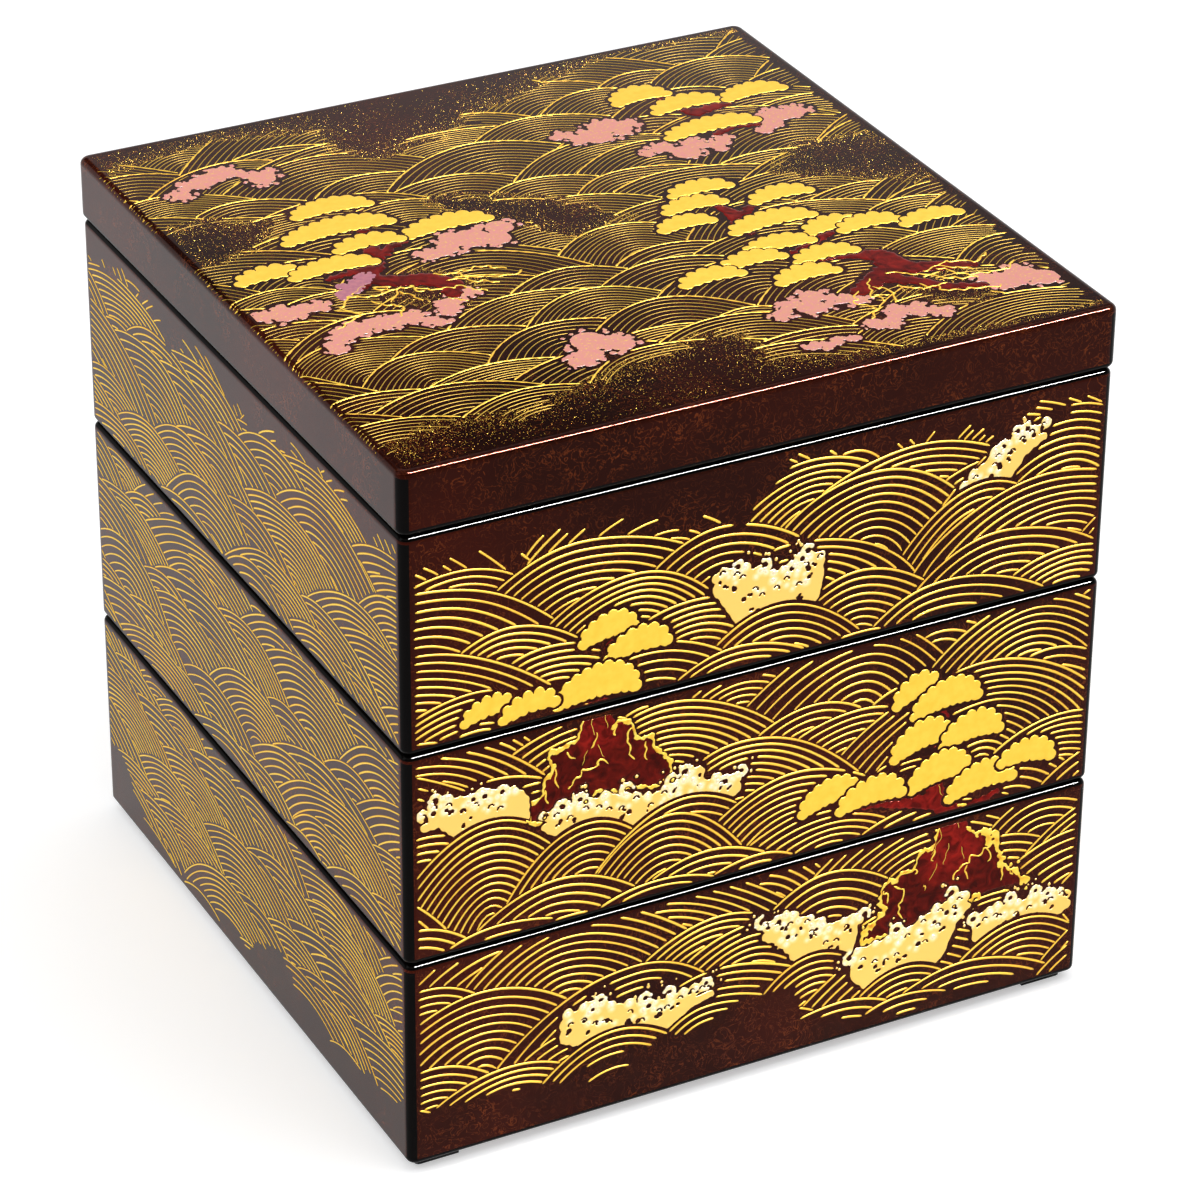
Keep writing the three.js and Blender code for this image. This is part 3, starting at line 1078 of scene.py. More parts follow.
def wave_before(stations, number):
    """A wave whose crest lies across the lower half of a spray, under its widest dab. It is
    higher than the others by the extra depth, so its nested lines go on further down."""
    u, v, radius = max(stations, key=lambda station: station[2])
    height, share = 23 + EXTRA_DEPTH, 0.9 + 0.1 * math.sin(5 * number)
    return (u, v - 0.45 * radius - height, 37 * share, 35 * share, height, 1.9, 0.03, 2.2)


spray_waves = [wave_before(stations, number)
               for number, (level, stations) in enumerate(FRONT_FOAM)]
sprays = [(max(level, wave[1] + wave[4] + 0.5), *parts)
          for (level, *parts), wave in zip(sprays, spray_waves)]


# %% The fields of the foam
all_beads = np.vstack([spray[3] for spray in sprays])


def spray_field(spray, u, v):
    """One spray with its holes cut out."""
    _, solid, holes, _ = spray
    shape = dabs_field(solid, u, v) + 0.18 * ripple(41, 3.0, u, v)
    return np.minimum(shape, -dabs_field(holes, u, v))


def bead_highlight_glow(u, v):
    """One at the beads, falling to nothing a little way from them: a painted highlight round each
    bead.
    """
    return np.clip(1 + dabs_field(all_beads, u, v) / 1.6, 0, 1)


# %% [markdown]
# ## Blossom on the lid
# The lid carries clusters of pink blossom, flat and ragged at the edge, as if stamped from
# small round dabs with a few missing.

# %% Clusters of blossom
BLOSSOM = [  # across, up, length, height, tilt
    (-71, 67, 34, 15, 2), (-30, 6, 29, 16, 9), (-86, -10, 20, 13, -6), (-70, -30, 34, 14, 4),
    (-47, -23, 15, 10, 16), (-29, -61, 20, 17, 14), (30, 51, 27, 13, 0), (47, 32, 28, 12, 2),
    (77, 36, 18, 14, 14), (31, -64, 28, 12, 2), (48, -80, 25, 10, 3), (83, -75, 18, 18, -6),
    (25, -84, 15, 6, 3),
]


# %% The dabs of a cluster
def cluster(number, u, v, length, height, tilt):
    """Large clumps in a row, each moved up or down at random, with small dabs round the rim of
    each: their places are the clump's place plus its radius at random angles."""
    rng = np.random.default_rng(170 + number)
    clumps = max(4, int(round(length / 4.6)))
    x = np.linspace(-0.84, 0.84, clumps) + rng.uniform(-0.06, 0.06, clumps)
    y = rng.uniform(-0.75, 0.75, clumps) * (1 - 0.4 * np.abs(x))
    radius = height * rng.uniform(0.18, 0.36, clumps) * (1 - 0.4 * np.abs(x))
    x, y = x * (length / 2 - 1), y * (height / 2)
    angle = rng.uniform(0, 2 * math.pi, (clumps, 15))
    size = rng.uniform(0.5, 1.15, (clumps, 15))
    far = rng.uniform(0.95, 1.35, (clumps, 15))
    rim_x = x[:, None] + radius[:, None] * far * np.cos(angle) * 1.2
    rim_y = y[:, None] + radius[:, None] * far * np.sin(angle)
    spine = np.linspace(0, 1, 4 * clumps) * (clumps - 1)
    mid_x = np.interp(spine, np.arange(clumps), x)
    mid_y = np.interp(spine, np.arange(clumps), y)
    mid_r = 0.6 * np.interp(spine, np.arange(clumps), radius)
    x = np.concatenate([x, rim_x.ravel(), mid_x])
    y = np.concatenate([y, rim_y.ravel(), mid_y])
    radius = np.concatenate([radius, size.ravel(), mid_r])
    x, y = turn_and_move(x, y, u, v, math.radians(tilt))
    return np.column_stack([x, y, radius])


blossom_dabs = np.vstack([cluster(n, *values) for n, values in enumerate(BLOSSOM)])
mauve_dabs = cluster(30, -66, -4, 16, 10, 42)
print("blossom:", len(blossom_dabs), "dabs, and", len(mauve_dabs), "over a trunk")


# %% The fields of the blossom
def blossom_field(u, v):
    """The blossom, cut by the cushions and trunks before it."""
    shape = dabs_field(blossom_dabs, u, v) + 0.2 * ripple(42, 1.8, u, v)
    before = np.maximum(lid_pines_field(u, v) + LID_RED_GAP, lid_red(u, v) + 0.1)
    return np.minimum(shape, -before)


def mauve_field(u, v):
    """One small cluster lies over the root of the left tree."""
    shape = dabs_field(mauve_dabs, u, v) + 0.2 * ripple(44, 1.8, u, v)
    return np.minimum(shape, -lid_pines_field(u, v) - LID_RED_GAP)


# %% [markdown]
# ## The places on the lid that stay bare
# On the lid, waves leave some dark patches. Gold dust is sprinkled along their borders, thick
# at the waves and thinning out towards the middle of the patch.

# %% Bare patches
LID_BARE = [
    [(-100, 100), (-100, 84), (-60, 92), (-36, 84), (-37, 70), (-27, 62), (-8, 68), (9, 77),
     (31, 87), (58, 96), (100, 95), (100, 110), (-100, 110)],
    [(60, 8), (76, 22), (108, 12), (108, -14), (88, -10), (72, 0)],
    [(-100, -104), (-100, -88), (-80, -80), (-58, -84), (-38, -77), (-18, -72), (-4, -67),
     (8, -70), (6, -84), (24, -92), (60, -95), (100, -97), (100, -104)],
    [(-28, 34), (-10, 26), (6, 14), (12, 2), (-2, -4), (-14, 10), (-26, 22)],
    [(-98, 44), (-84, 46), (-70, 38), (-80, 24), (-98, 22)],
    [(-60, -12), (-48, -4), (-38, -14), (-46, -24), (-56, -20)],
    [(56, -68), (72, -64), (80, -70), (70, -80), (60, -76)],
]


def lid_bare(u, v):
    """Above zero in the bare patches."""
    patches_field = np.maximum.reduce([outline_field(p, u, v) for p in LID_BARE])
    return patches_field + 1.2 * ripple(43, 16, u, v)


# %% [markdown]
# ## Painting the sides
# The lines of a side are worked out once over its whole height. Each tier then takes the
# samples that lie on its own flat wall, so the strokes end at the seams as the real ones do.

# %% Which samples are painted on each side
SEAM_MARGIN = 2.1     # the rounded edge and a hair of bare lacquer
CORNER_MARGIN = 2.9
MOTIF_GAP = 0.75
ALL_WAVES = -99       # a level below every crest
OWN_REACH = (22, 4.5)   # half axes of the ellipse about an own crest that stays free of others
OUTLINE_GAP = 0.45
RAGGED = 1.3          # how unevenly the lines end at a border
STUBS = (0.3, 4.6)    # the length of the loose tips along the top


def side_lines(top, bottom, seed, pitch, half_width, height, spacing, fullness=(1.5, 2.2),
               layers=(), own_waves=()):
    """The waves of one side, and its (u, v, painted) tables. layers are pairs of a level and a
    field: the lines of a wave whose crest is above the level stop at that field. own_waves
    stand at given places, and other waves whose crests are near theirs are left out."""
    waves = lay_waves((0, 0), (side_span, 184), pitch, half_width, height, spacing, seed,
                      fullness=fullness)
    settled, beyond = settle(waves, top)
    settled = [wave for wave in settled if all(
        math.hypot((wave[0] - own[0]) / OWN_REACH[0],
                   (wave[1] + wave[4] - own[1] - own[4]) / OWN_REACH[1]) > 1
        for own in own_waves)]
    settled = sorted([*settled, *own_waves],
                     key=lambda wave: -wave[1] - EXTRA_DEPTH * (wave in own_waves))
    waves = beyond + settled
    u, v, owner, _ = wave_lines(waves)
    painted = uncovered(waves, u, v, owner, OUTLINE_GAP)
    rng = np.random.default_rng(seed + 1)
    ragged = rng.normal(0, RAGGED, (len(u), 1))
    loose = (owner < len(beyond))[:, None]
    painted &= between(top, bottom, u, v, ragged + 3.5 * loose)
    reach = np.broadcast_to(rng.uniform(*STUBS, (len(u), 1)), u.shape)
    fringe = painted & loose
    painted[fringe] = waves_field(settled, u[fringe], v[fringe]) > -reach[fringe]
    painted &= (u > CORNER_MARGIN) & (u < side_span - CORNER_MARGIN)
    crest = np.array([wave[1] + wave[4] for wave in waves])[owner]
    for level, field in layers:
        asked = painted & (crest > level)[:, None]
        painted[asked] = field(u[asked], v[asked]) < -MOTIF_GAP
    return waves, u, v, painted


# %% The lines of all four sides
front_layers = [(ALL_WAVES, front_pines_field), (min(ROCK_LEVELS), front_red)]
front_layers += [(spray[0], lambda u, v, spray=spray: spray_field(spray, u, v))
                 for spray in sprays]
side_tables = {
    "front": side_lines(FRONT_TOP, FRONT_BOTTOM, 11, (42, 11), 35, 23, 2.2,
                        layers=front_layers, own_waves=spray_waves),
    "left": side_lines(LEFT_TOP, LEFT_BOTTOM, 12, (42, 8.5), 37, 19, 1.8, (1.5, 2.1)),
    "right": side_lines(RIGHT_TOP, RIGHT_BOTTOM, 13, (44, 12.5), 35, 24, 2.5),
    "back": side_lines(BACK_TOP, BACK_BOTTOM, 14, (48, 13.5), 38, 25, 2.7),
}
for side, (_, u, v, painted) in side_tables.items():
    print(side, "has", len(u), "lines,", round(float(painted.mean()), 2), "of them seen")
front_waves = side_tables["front"][0]


# %% What the front waves leave of the rocks and the foam
NEAR = 2.0       # the waves are asked no further than this outside a shape
WAVE_GAP = 1.0   # bare lacquer between a wave and what it hides
FOAM_GAP = 0.35  # and between the foam and a rock


def before_level(level, u, v):
    """Where the waves lie whose crests are below a level, with a gap for their outline."""
    lower = [wave for wave in front_waves if wave[1] + wave[4] <= level]
    return waves_field(lower, u, v) + WAVE_GAP


def foam_field(u, v):
    """All sprays, each behind the waves below its level. The waves are asked only near it."""
    best = np.full(np.shape(u), -FAR)
    for spray in sprays:
        shape = spray_field(spray, u, v)
        near = shape > -NEAR
        shape[near] = np.minimum(shape[near], -before_level(spray[0], u[near], v[near]))
        best = np.maximum(best, shape)
    return best


def seen_red(u, v):
    """The red masses behind the foam and the lower waves. The upper rock is told from the
    lower one by its height."""
    shape = front_red(u, v)
    for level, here in zip(ROCK_LEVELS, (v > ROCK_SPLIT, v <= ROCK_SPLIT)):
        near = (shape > -NEAR) & here
        shape[near] = np.minimum(shape[near], -before_level(level, u[near], v[near]))
    return np.minimum(shape, -foam_field(u, v) - FOAM_GAP)


def rock_rim(u, v):
    """A band along the rough edge of the rocks, whose width wanders, where no trunk, foam or
    wave lies over it."""
    rim = 0.74 + 0.20 * ripple(35, 2.2, u, v) - np.abs(rocks_field(u, v) - 0.1)
    return np.minimum.reduce([rim, -dabs_field(FRONT_TRUNKS, u, v) + 0.6, seen_red(u, v) + 1.2,
                              -foam_field(u, v) - 0.3,
                              -front_pines_field(u, v) - CUSHION_GAP])


# %% [markdown]
# ## Gold, foam, red and pink
# Gold powder isn't a mirror: fine grains lie every way, so it shines softly and keeps its yellow
# from every side. A stroke is coloured dark orange along its sides and bright yellow on its crest:
# painted shade on the flanks of the raised line and a painted highlight on its ridge. The fine
# lines of the lid have so little powder that they look olive brown.

# %% The painted materials
gold = new_material("gold_powder_lines", Metallic=0.12, Roughness=0.42, IOR=1.2)
# Dark orange at a stroke's bases and bright yellow at its ridge: painted shade and painted
# highlight.
gold_colour = ramp(gold, attribute(gold, "tone"), [
    (0.0, (0.30, 0.075, 0.006, 1)), (0.35, (0.72, 0.30, 0.018, 1)),
    (0.62, (0.95, 0.60, 0.050, 1)), (1.0, (1.0, 0.74, 0.11, 1))])
grains = span(gold, noise(gold, 2600, 1), 0.3, 0.7, 0.86, 1.0)
gold_colour = mix_colour(gold, grains, (0.45, 0.19, 0.02, 1), gold_colour)
to_shader(gold, "Base Color", gold_colour)

thin_gold = new_material("thin_gold_powder", Metallic=0.1, Roughness=0.45, IOR=1.15)
# The same painted shade at the bases and painted highlight at the ridge, in duller gold.
thin_colour = ramp(thin_gold, attribute(thin_gold, "tone"), [
    (0.0, (0.12, 0.055, 0.006, 1)), (0.5, (0.36, 0.21, 0.020, 1)), (1.0, (0.62, 0.40, 0.04, 1))])
to_shader(thin_gold, "Base Color", thin_colour)

leaf = new_material("gold_cushions", Metallic=0.12, Roughness=0.45, IOR=1.2)
mottle = span(leaf, noise(leaf, 420, 4), 0.3, 0.75)
leaf_colour = mix_colour(leaf, mottle, (0.94, 0.56, 0.045, 1), (1.0, 0.64, 0.070, 1))
to_shader(leaf, "Base Color", leaf_colour)

# %% Foam, beads and red lacquer
foam = new_material("pale_gold_foam", Metallic=0.1, Roughness=0.4)
# The foam pales towards cream near the beads, which is painted highlight, and a noise mottles it.
pale = span(foam, math_node(foam, "ADD", attribute(foam, "tone"), math_node(
    foam, "MULTIPLY", noise(foam, 500, 3), 0.5)), 0.55, 1.25)
foam_colour = ramp(foam, pale, [(0.0, (1.0, 0.61, 0.10, 1)), (0.5, (1.0, 0.72, 0.22, 1)),
                                (1.0, (1.0, 0.86, 0.50, 1))])
to_shader(foam, "Base Color", foam_colour)

# The beads' white is painted highlight on the raised drops.
bead = new_material("white_beads_painted_highlight", Roughness=0.25)
to_shader(bead, "Base Color", ramp(bead, noise(bead, 900, 2), [
    (0.35, (1.0, 0.78, 0.40, 1)), (0.65, (1.0, 0.94, 0.76, 1))]))

red = new_material("red_lacquer", Roughness=0.14, IOR=1.17,
                   Specular_Tint=(1.0, 0.20, 0.14, 1))
streaks = span(red, noise(red, 240, 4, 1.5), 0.35, 0.7)
warm = ramp(red, streaks, [(0.0, (0.090, 0.004, 0.003, 1)), (0.5, (0.20, 0.008, 0.006, 1)),
                           (1.0, (0.30, 0.012, 0.008, 1))])
cool = ramp(red, streaks, [(0.0, (0.022, 0.003, 0.002, 1)), (0.6, (0.070, 0.005, 0.003, 1)),
                           (1.0, (0.120, 0.008, 0.004, 1))])
to_shader(red, "Base Color", mix_colour(red, attribute(red, "tone"), cool, warm))

# %% Blossom
def blossom_material(name, first, second):
    """A blossom lacquer and its colour, which wanders between two."""
    material = new_material(name, Roughness=0.35, IOR=1.3)
    petals = span(material, noise(material, 700, 3), 0.35, 0.68)
    return material, mix_colour(material, petals, first, second)


pink, pink_colour = blossom_material("pink_blossom", (0.88, 0.38, 0.24, 1),
                                     (0.90, 0.32, 0.31, 1))
specks = span(pink, noise(pink, 1500, 1), 0.64, 0.70)
to_shader(pink, "Base Color", mix_colour(pink, specks, pink_colour, (1.0, 0.62, 0.16, 1)))
mauve, mauve_colour = blossom_material("mauve_blossom", (0.62, 0.22, 0.26, 1),
                                       (0.50, 0.16, 0.24, 1))
to_shader(mauve, "Base Color", mauve_colour)

# %% [markdown]
# ## Jagged gold lines
# Rocks and roots are edged with nervous gold lines. Each is a path of a few stations, sampled
# finely and shaken by noise.

# %% Paths as tables of samples
FRONT_JAGS = [
    [(45, 99), (46, 102), (49, 103), (52, 105), (55, 104)], [(40, 106), (41, 101)],
    [(61, 112), (60, 107), (62, 104)], [(66, 107), (65, 102)], [(57, 115), (57, 111)],
    [(44, 110), (45, 107)], [(52, 113), (51, 109)], [(37, 100), (38, 97)],
    [(139, 44), (141, 39), (140, 34), (142, 31)], [(136, 43), (136, 39)], [(144, 48), (145, 45)],
    [(168, 49), (163, 46), (158, 44), (156, 40), (154, 37)], [(171, 42), (171, 36)],
    [(173, 40), (174, 36)], [(160, 44), (161, 40)], [(166, 47), (166, 43)],
    [(150, 52), (149, 48)], [(147, 42), (148, 39)],
]
TRUNK_DASHES = [
    [(55, 139), (54.5, 136)], [(53, 133), (53.5, 130)], [(51, 119), (50, 116), (51, 113)],
    [(54, 118), (54.5, 114)], [(52, 110), (54, 106)], [(49, 109), (48, 105)],
    [(147, 83), (148, 80)], [(148.5, 76), (148, 72)], [(150, 71), (152, 66)],
    [(153, 63), (152, 59)], [(156, 61), (157, 56)], [(150, 60), (152, 55), (149, 50)],
    [(154, 52), (153, 46)], [(158, 50), (159, 46)], [(151, 47), (149, 42)],
]
LID_ROOTS = [
    [(-64, -6), (-70, -9), (-74, -14), (-72, -19), (-79, -24)],
    [(-62, -8), (-58, -12), (-62, -16)], [(-70, -9), (-64, -12), (-56, -10), (-52, -14)],
    [(-46, -6), (-40, -9), (-34, -8), (-28, -12)], [(-40, -9), (-38, -15), (-33, -18)],
    [(-54, -10), (-50, -15), (-43, -16), (-38, -21)], [(-66, -14), (-60, -20), (-63, -25)],
    [(-44, -12), (-36, -13), (-30, -16), (-25, -15)], [(-57, -12), (-54, -19)],
    [(-48, -20), (-44, -24)], [(55, -56), (62, -60), (68, -66), (76, -69)],
    [(50, -58), (46, -66), (48, -70)], [(68, -60), (74, -67), (84, -68), (88, -65)],
    [(44, -62), (40, -68), (44, -72), (40, -78)], [(49, -62), (52, -67), (49, -72)],
    [(60, -66), (64, -72), (72, -74), (78, -76)], [(64, -60), (72, -58), (80, -61), (84, -58)],
    [(70, -59), (76, -64)], [(54, -64), (60, -69), (66, -68)],
]


# %% Samples along the paths
PATH_SAMPLES = 160


def path_table(paths, shake, wavelength, seed):
    """Rows of samples along each path, moved off it by noise in both directions."""
    u, v = [], []
    for path in paths:
        stations = np.array(path, float)
        at = np.concatenate([[0], np.cumsum(np.hypot(*np.diff(stations, axis=0).T))])
        steps = np.linspace(0, at[-1], PATH_SAMPLES)
        u.append(np.interp(steps, at, stations[:, 0]))
        v.append(np.interp(steps, at, stations[:, 1]))
    u, v = np.array(u), np.array(v)
    moved_u = u + shake * ripple(seed, wavelength, u, v)
    moved_v = v + shake * ripple(seed + 1, wavelength, u, v)
    return moved_u, moved_v


jag_u, jag_v = path_table(FRONT_JAGS, 0.8, 3.6, 81)
dash_u, dash_v = path_table(TRUNK_DASHES, 0.3, 4.0, 85)
root_u, root_v = path_table(LID_ROOTS, 0.7, 3.2, 83)
jag_width = 0.80 * (1 + 0.35 * ripple(87, 2.4, jag_u, jag_v))
dash_width = np.full(dash_u.shape, 0.4)
root_width = 0.85 * (1 + 0.3 * ripple(88, 2.4, root_u, root_v))


# %% [markdown]
# ## Beads
# A bead is a low dome on the surface. Each is a few rings of a half sphere, closed below.

# %% Domes from a list of places
AROUND = 8           # points in a ring of a dome
DOME_HEIGHT = 0.55   # as a share of its radius


def domes(places):
    """Points and triangles of low domes at rows of (u, v, radius): three rings whose radius
    falls as a cosine while their height rises as a sine, a tip, and a flat underside."""
    turn = np.arange(AROUND) * 2 * math.pi / AROUND
    lift = np.radians([0, 35, 65])
    ring_u = np.cos(lift)[:, None] * np.cos(turn)
    ring_v = np.cos(lift)[:, None] * np.sin(turn)
    ring_h = np.broadcast_to(np.sin(lift)[:, None], ring_u.shape)
    unit = np.vstack([np.column_stack([ring_u.ravel(), ring_v.ravel(), ring_h.ravel()]),
                      [[0, 0, 1], [0, 0, 0]]])
    size = places[:, 2][:, None]
    u = places[:, 0][:, None] + unit[:, 0] * size
    v = places[:, 1][:, None] + unit[:, 1] * size
    h = unit[:, 2] * size * DOME_HEIGHT - SUNK
    index, following, quads = ring_quads(3, AROUND)
    tip = np.column_stack([index[2], following[2], np.full(AROUND, 3 * AROUND)])
    under = np.column_stack([following[0], index[0], np.full(AROUND, 3 * AROUND + 1)])
    one = np.vstack([quads[:, [0, 1, 2]], quads[:, [0, 2, 3]], tip, under])
    first = (np.arange(len(places)) * len(unit))[:, None, None]
    faces = (one[None] + first).reshape(-1, 3)
    points = np.stack([u, v, h], 2).reshape(-1, 3)
    return points, faces, np.ones(len(points))


# %% [markdown]
# ## Dressing the tiers
# Each tier gets the parts of the painting that lie on its own flat wall. No pine reaches the
# lower tier, so that one has no piece of pines.

# %% Pieces of paint
def add_paint(name, lay, parts, paint):
    """A piece from flat parts that are laid on the box, or none where all are empty."""
    parts = [part for part in parts if len(part[0])]
    if parts:
        points, faces, tones = join(parts)
        add_mesh(name, lay(*points.T), [faces], [paint], None, values={"tone": tones})


def lay_on_front(along, up, height):
    """A painting laid on the front side."""
    return lay_on_side("front", along, up, height)


def cushion_films(cushions, gap, step, thickness, floor=-1000, ceiling=1000):
    """Films of the cushions between two heights, each cut by those that lie over it."""
    films = []
    for order, dabs in enumerate(cushions):
        low, high = dabs[:, :2].min(0) - 3, dabs[:, :2].max(0) + 3
        if high[1] < floor or low[1] > ceiling:
            continue

        def cushion(u, v):
            """This cushion without what lies over it."""
            shape = np.minimum(dabs_field(dabs, u, v), np.minimum(v - floor, ceiling - v))
            for over in cushions[order + 1:]:
                shape = np.minimum(shape, -dabs_field(over, u, v) - gap)
            return shape

        films.append(film(cushion, low, high, step, thickness))
    return films


def rim_tone(u, v):
    """The rocks' gold edges are bright, with duller places."""
    return 0.75 + 0.25 * ripple(36, 3.0, u, v)


# %% Painting one tier after another
WAVE_WIDTH = {"front": 0.84, "left": 0.66, "right": 0.86, "back": 0.9}
WAVE_HEIGHT = 0.13
PINE_HEIGHT, ROCK_HEIGHT, EDGE_HEIGHT, FOAM_HEIGHT = 0.10, 0.05, 0.14, 0.12
FILM_STEP = 0.42
FINE_STEP = 0.3   # for the frayed edges of rocks and foam

for number, name in enumerate(TIERS):
    floor = tier_bottoms[number] - tier_bottoms[0] + SEAM_MARGIN
    ceiling = tier_rims[number] - tier_bottoms[0] - SEAM_MARGIN
    low, high = (CORNER_MARGIN, floor - 1), (side_span - CORNER_MARGIN, ceiling + 1)

    def on_tier(u, v):
        """Above zero on this tier's flat wall."""
        return np.minimum(v - floor, ceiling - v)

    def clipped(field):
        """A field that ends at the borders of this tier's flat wall."""
        return lambda u, v: np.minimum(field(u, v), on_tier(u, v))

    parts = []
    for side, (_, u, v, painted) in side_tables.items():
        here = painted & (on_tier(u, v) > 0)
        pressure = WAVE_WIDTH[side] * (1 + 0.12 * np.sin(u / 7 + v / 5))
        points, faces, tones = strokes(u, v, here, pressure, WAVE_HEIGHT, seed=number + 5)
        parts.append((lay_on_side(side, *points.T), faces, tones))
    points, faces, tones = join(parts)
    add_mesh(name + "_waves", points, [faces], [gold], None,
             values={"tone": tones})

    pines = cushion_films(front_cushions, CUSHION_GAP, FILM_STEP, PINE_HEIGHT, floor,
                          ceiling)
    add_paint(name + "_pines", lay_on_front, pines, leaf)

    rocks = film(clipped(seen_red), low, high, FILM_STEP, ROCK_HEIGHT, redness)
    add_paint(name + "_rocks", lay_on_front, [rocks], red)

    edges = [film(clipped(rock_rim), low, high, FINE_STEP, EDGE_HEIGHT, rim_tone)]
    for u, v, width, height in [(jag_u, jag_v, jag_width, 0.16),
                                (dash_u, dash_v, dash_width, 0.09)]:
        here = (on_tier(u, v) > 0) & (seen_red(u, v) > 0.3)
        edges.append(strokes(u, v, here, width, height, shortest=1, step=0.5))
    add_paint(name + "_rock_edges", lay_on_front, edges, gold)

    spray = film(clipped(foam_field), low, high, FINE_STEP, FOAM_HEIGHT, bead_highlight_glow)
    add_paint(name + "_foam", lay_on_front, [spray], foam)
    clear = np.minimum(on_tier(*all_beads.T[:2]), foam_field(*all_beads.T[:2]) + 0.5)
    add_paint(name + "_foam_beads", lay_on_front, [domes(all_beads[clear > 0.6])], bead)

# %% [markdown]
# ## Painting the lid
# The lid's waves are finer than those of the sides, with lines under 2 mm apart, and they run
# over the left edge.

# %% The lid's waves
OVER_LEFT_EDGE = 1.9   # how far round the left edge the lines run
LID_OUTLINE_GAP = 0.3
LID_RAGGED = 1.6       # how unevenly the lines end at a bare patch
LID_MARGIN = 1.2       # bare lacquer along the other edges, at the least
LID_MOTIF_GAP = 0.55
lid_waves = lay_waves((-98, -98), (98, 104), (37, 10), 29, 20, 1.55, 21, shift=0.2)
lid_u, lid_v, lid_owner, lid_rank = wave_lines(lid_waves)
lid_painted = uncovered(lid_waves, lid_u, lid_v, lid_owner, LID_OUTLINE_GAP)
lid_ragged = np.random.default_rng(22).normal(0, LID_RAGGED, (len(lid_u), 1))
lid_frayed = LID_MARGIN + np.abs(lid_ragged)
lid_flat = lid_half - EDGE_RADIUS
lid_painted &= (lid_u > -(lid_flat + OVER_LEFT_EDGE)) & (lid_u < lid_flat - lid_frayed)
lid_painted &= (np.abs(lid_v) < lid_flat - lid_frayed)
seen_u, seen_v = lid_u[lid_painted], lid_v[lid_painted]
lid_motifs = np.maximum.reduce([
    lid_pines_field(seen_u, seen_v) + 0.1, lid_red(seen_u, seen_v),
    blossom_field(seen_u, seen_v)])
rag = np.broadcast_to(lid_ragged, lid_u.shape)[lid_painted]
clear = (lid_motifs < -LID_MOTIF_GAP) & (lid_bare(seen_u, seen_v) < rag)
lid_painted[lid_painted] = clear
pressure = 0.45 * (1 + 0.15 * np.sin(lid_u / 6 + lid_v / 4))
beaded = pressure * (1.1 + 0.6 * (1 + np.sin(lid_u * 1.9)))
outline = (lid_rank == 0)[:, None]
bright = strokes(lid_u, lid_v, lid_painted & outline, beaded, 0.09, seed=23)
add_paint("lid_wave_outlines", lay_on_lid, [bright], gold)
dull = strokes(lid_u, lid_v, lid_painted & ~outline, pressure, 0.07, seed=24)
add_paint("lid_waves", lay_on_lid, [dull], thin_gold)

# %% The lid's pines, trunks, blossom and roots
LID_STEP = 0.4


def evenly_red(u, v):
    """The trunks of the lid have no dark parts."""
    return np.ones(np.shape(u))


pines = cushion_films(lid_cushions, LID_CUSHION_GAP, LID_STEP, 0.08)
add_paint("lid_pines", lay_on_lid, pines, leaf)
lid_low, lid_high = (-96, -94), (94, 94)
for name, field, low, high, thickness, tone, paint, slot in [
        ("lid_trunks", lid_red, lid_low, lid_high, 0.05, evenly_red, red, "red_lacquer"),
        ("lid_blossom", blossom_field, lid_low, lid_high, 0.06, None, pink, "pink_lacquer"),
        ("lid_mauve_blossom", mauve_field, (-82, -18), (-50, 10), 0.11, None, mauve,
         "pink_lacquer")]:
    part = film(field, low, high, LID_STEP, thickness, tone)
    add_paint(name, lay_on_lid, [part], paint)
everywhere = np.ones(root_u.shape, bool)
roots = strokes(root_u, root_v, everywhere, root_width, 0.14, shortest=1, step=0.5)
add_paint("lid_roots", lay_on_lid, [roots], gold)

# %% [markdown]
# ## Gold dust
# The dust is real grains here: low four-sided crumbs of a few tenths of a millimetre. A grain is
# tried at random on the lid, and kept with a chance that is high at the border of a bare
# patch and falls towards its middle.

# %% Grains of dust
TRIES = 150000
DUST_REACH = 95.5    # half the width of the field of dust
DUST_HEIGHT = 0.07
rng = np.random.default_rng(91)
tries = rng.uniform(-DUST_REACH, DUST_REACH, (TRIES, 2))
inside = lid_bare(*tries.T)
chance = np.exp(-np.clip(inside, 0, None) / 4.6) * (inside > -2.6) * 0.95
chance += 0.06 * (inside > 0)
clear_of = np.maximum.reduce([lid_pines_field(*tries.T), lid_red(*tries.T),
                              blossom_field(*tries.T)])
kept = tries[(rng.random(len(tries)) < chance) & (clear_of < -0.4)]
grain = rng.uniform(0.09, 0.19, len(kept))
turn = rng.uniform(0, math.pi, len(kept))[:, None] + np.arange(3) * 2 * math.pi / 3
base_u = kept[:, :1] + grain[:, None] * np.cos(turn)
base_v = kept[:, 1:] + grain[:, None] * np.sin(turn)
base = np.stack([base_u, base_v, np.full(base_u.shape, -SUNK)], 2)
peak = np.column_stack([kept, np.full(len(kept), DUST_HEIGHT)])[:, None]
points = np.concatenate([base, peak], 1).reshape(-1, 3)
crumb = np.array([[0, 1, 3], [1, 2, 3], [2, 0, 3], [2, 1, 0]])
faces = (crumb[None] + (4 * np.arange(len(kept)))[:, None, None]).reshape(-1, 3)
tones = np.repeat(rng.uniform(0.2, 0.9, len(kept)), 4)
add_mesh("lid_gold_dust", lay_on_lid(*points.T), [faces], [gold], None,
         smooth=False, values={"tone": tones})
print("triangles in all:", sum(triangles_made), "and in the largest piece:",
      max(triangles_made))

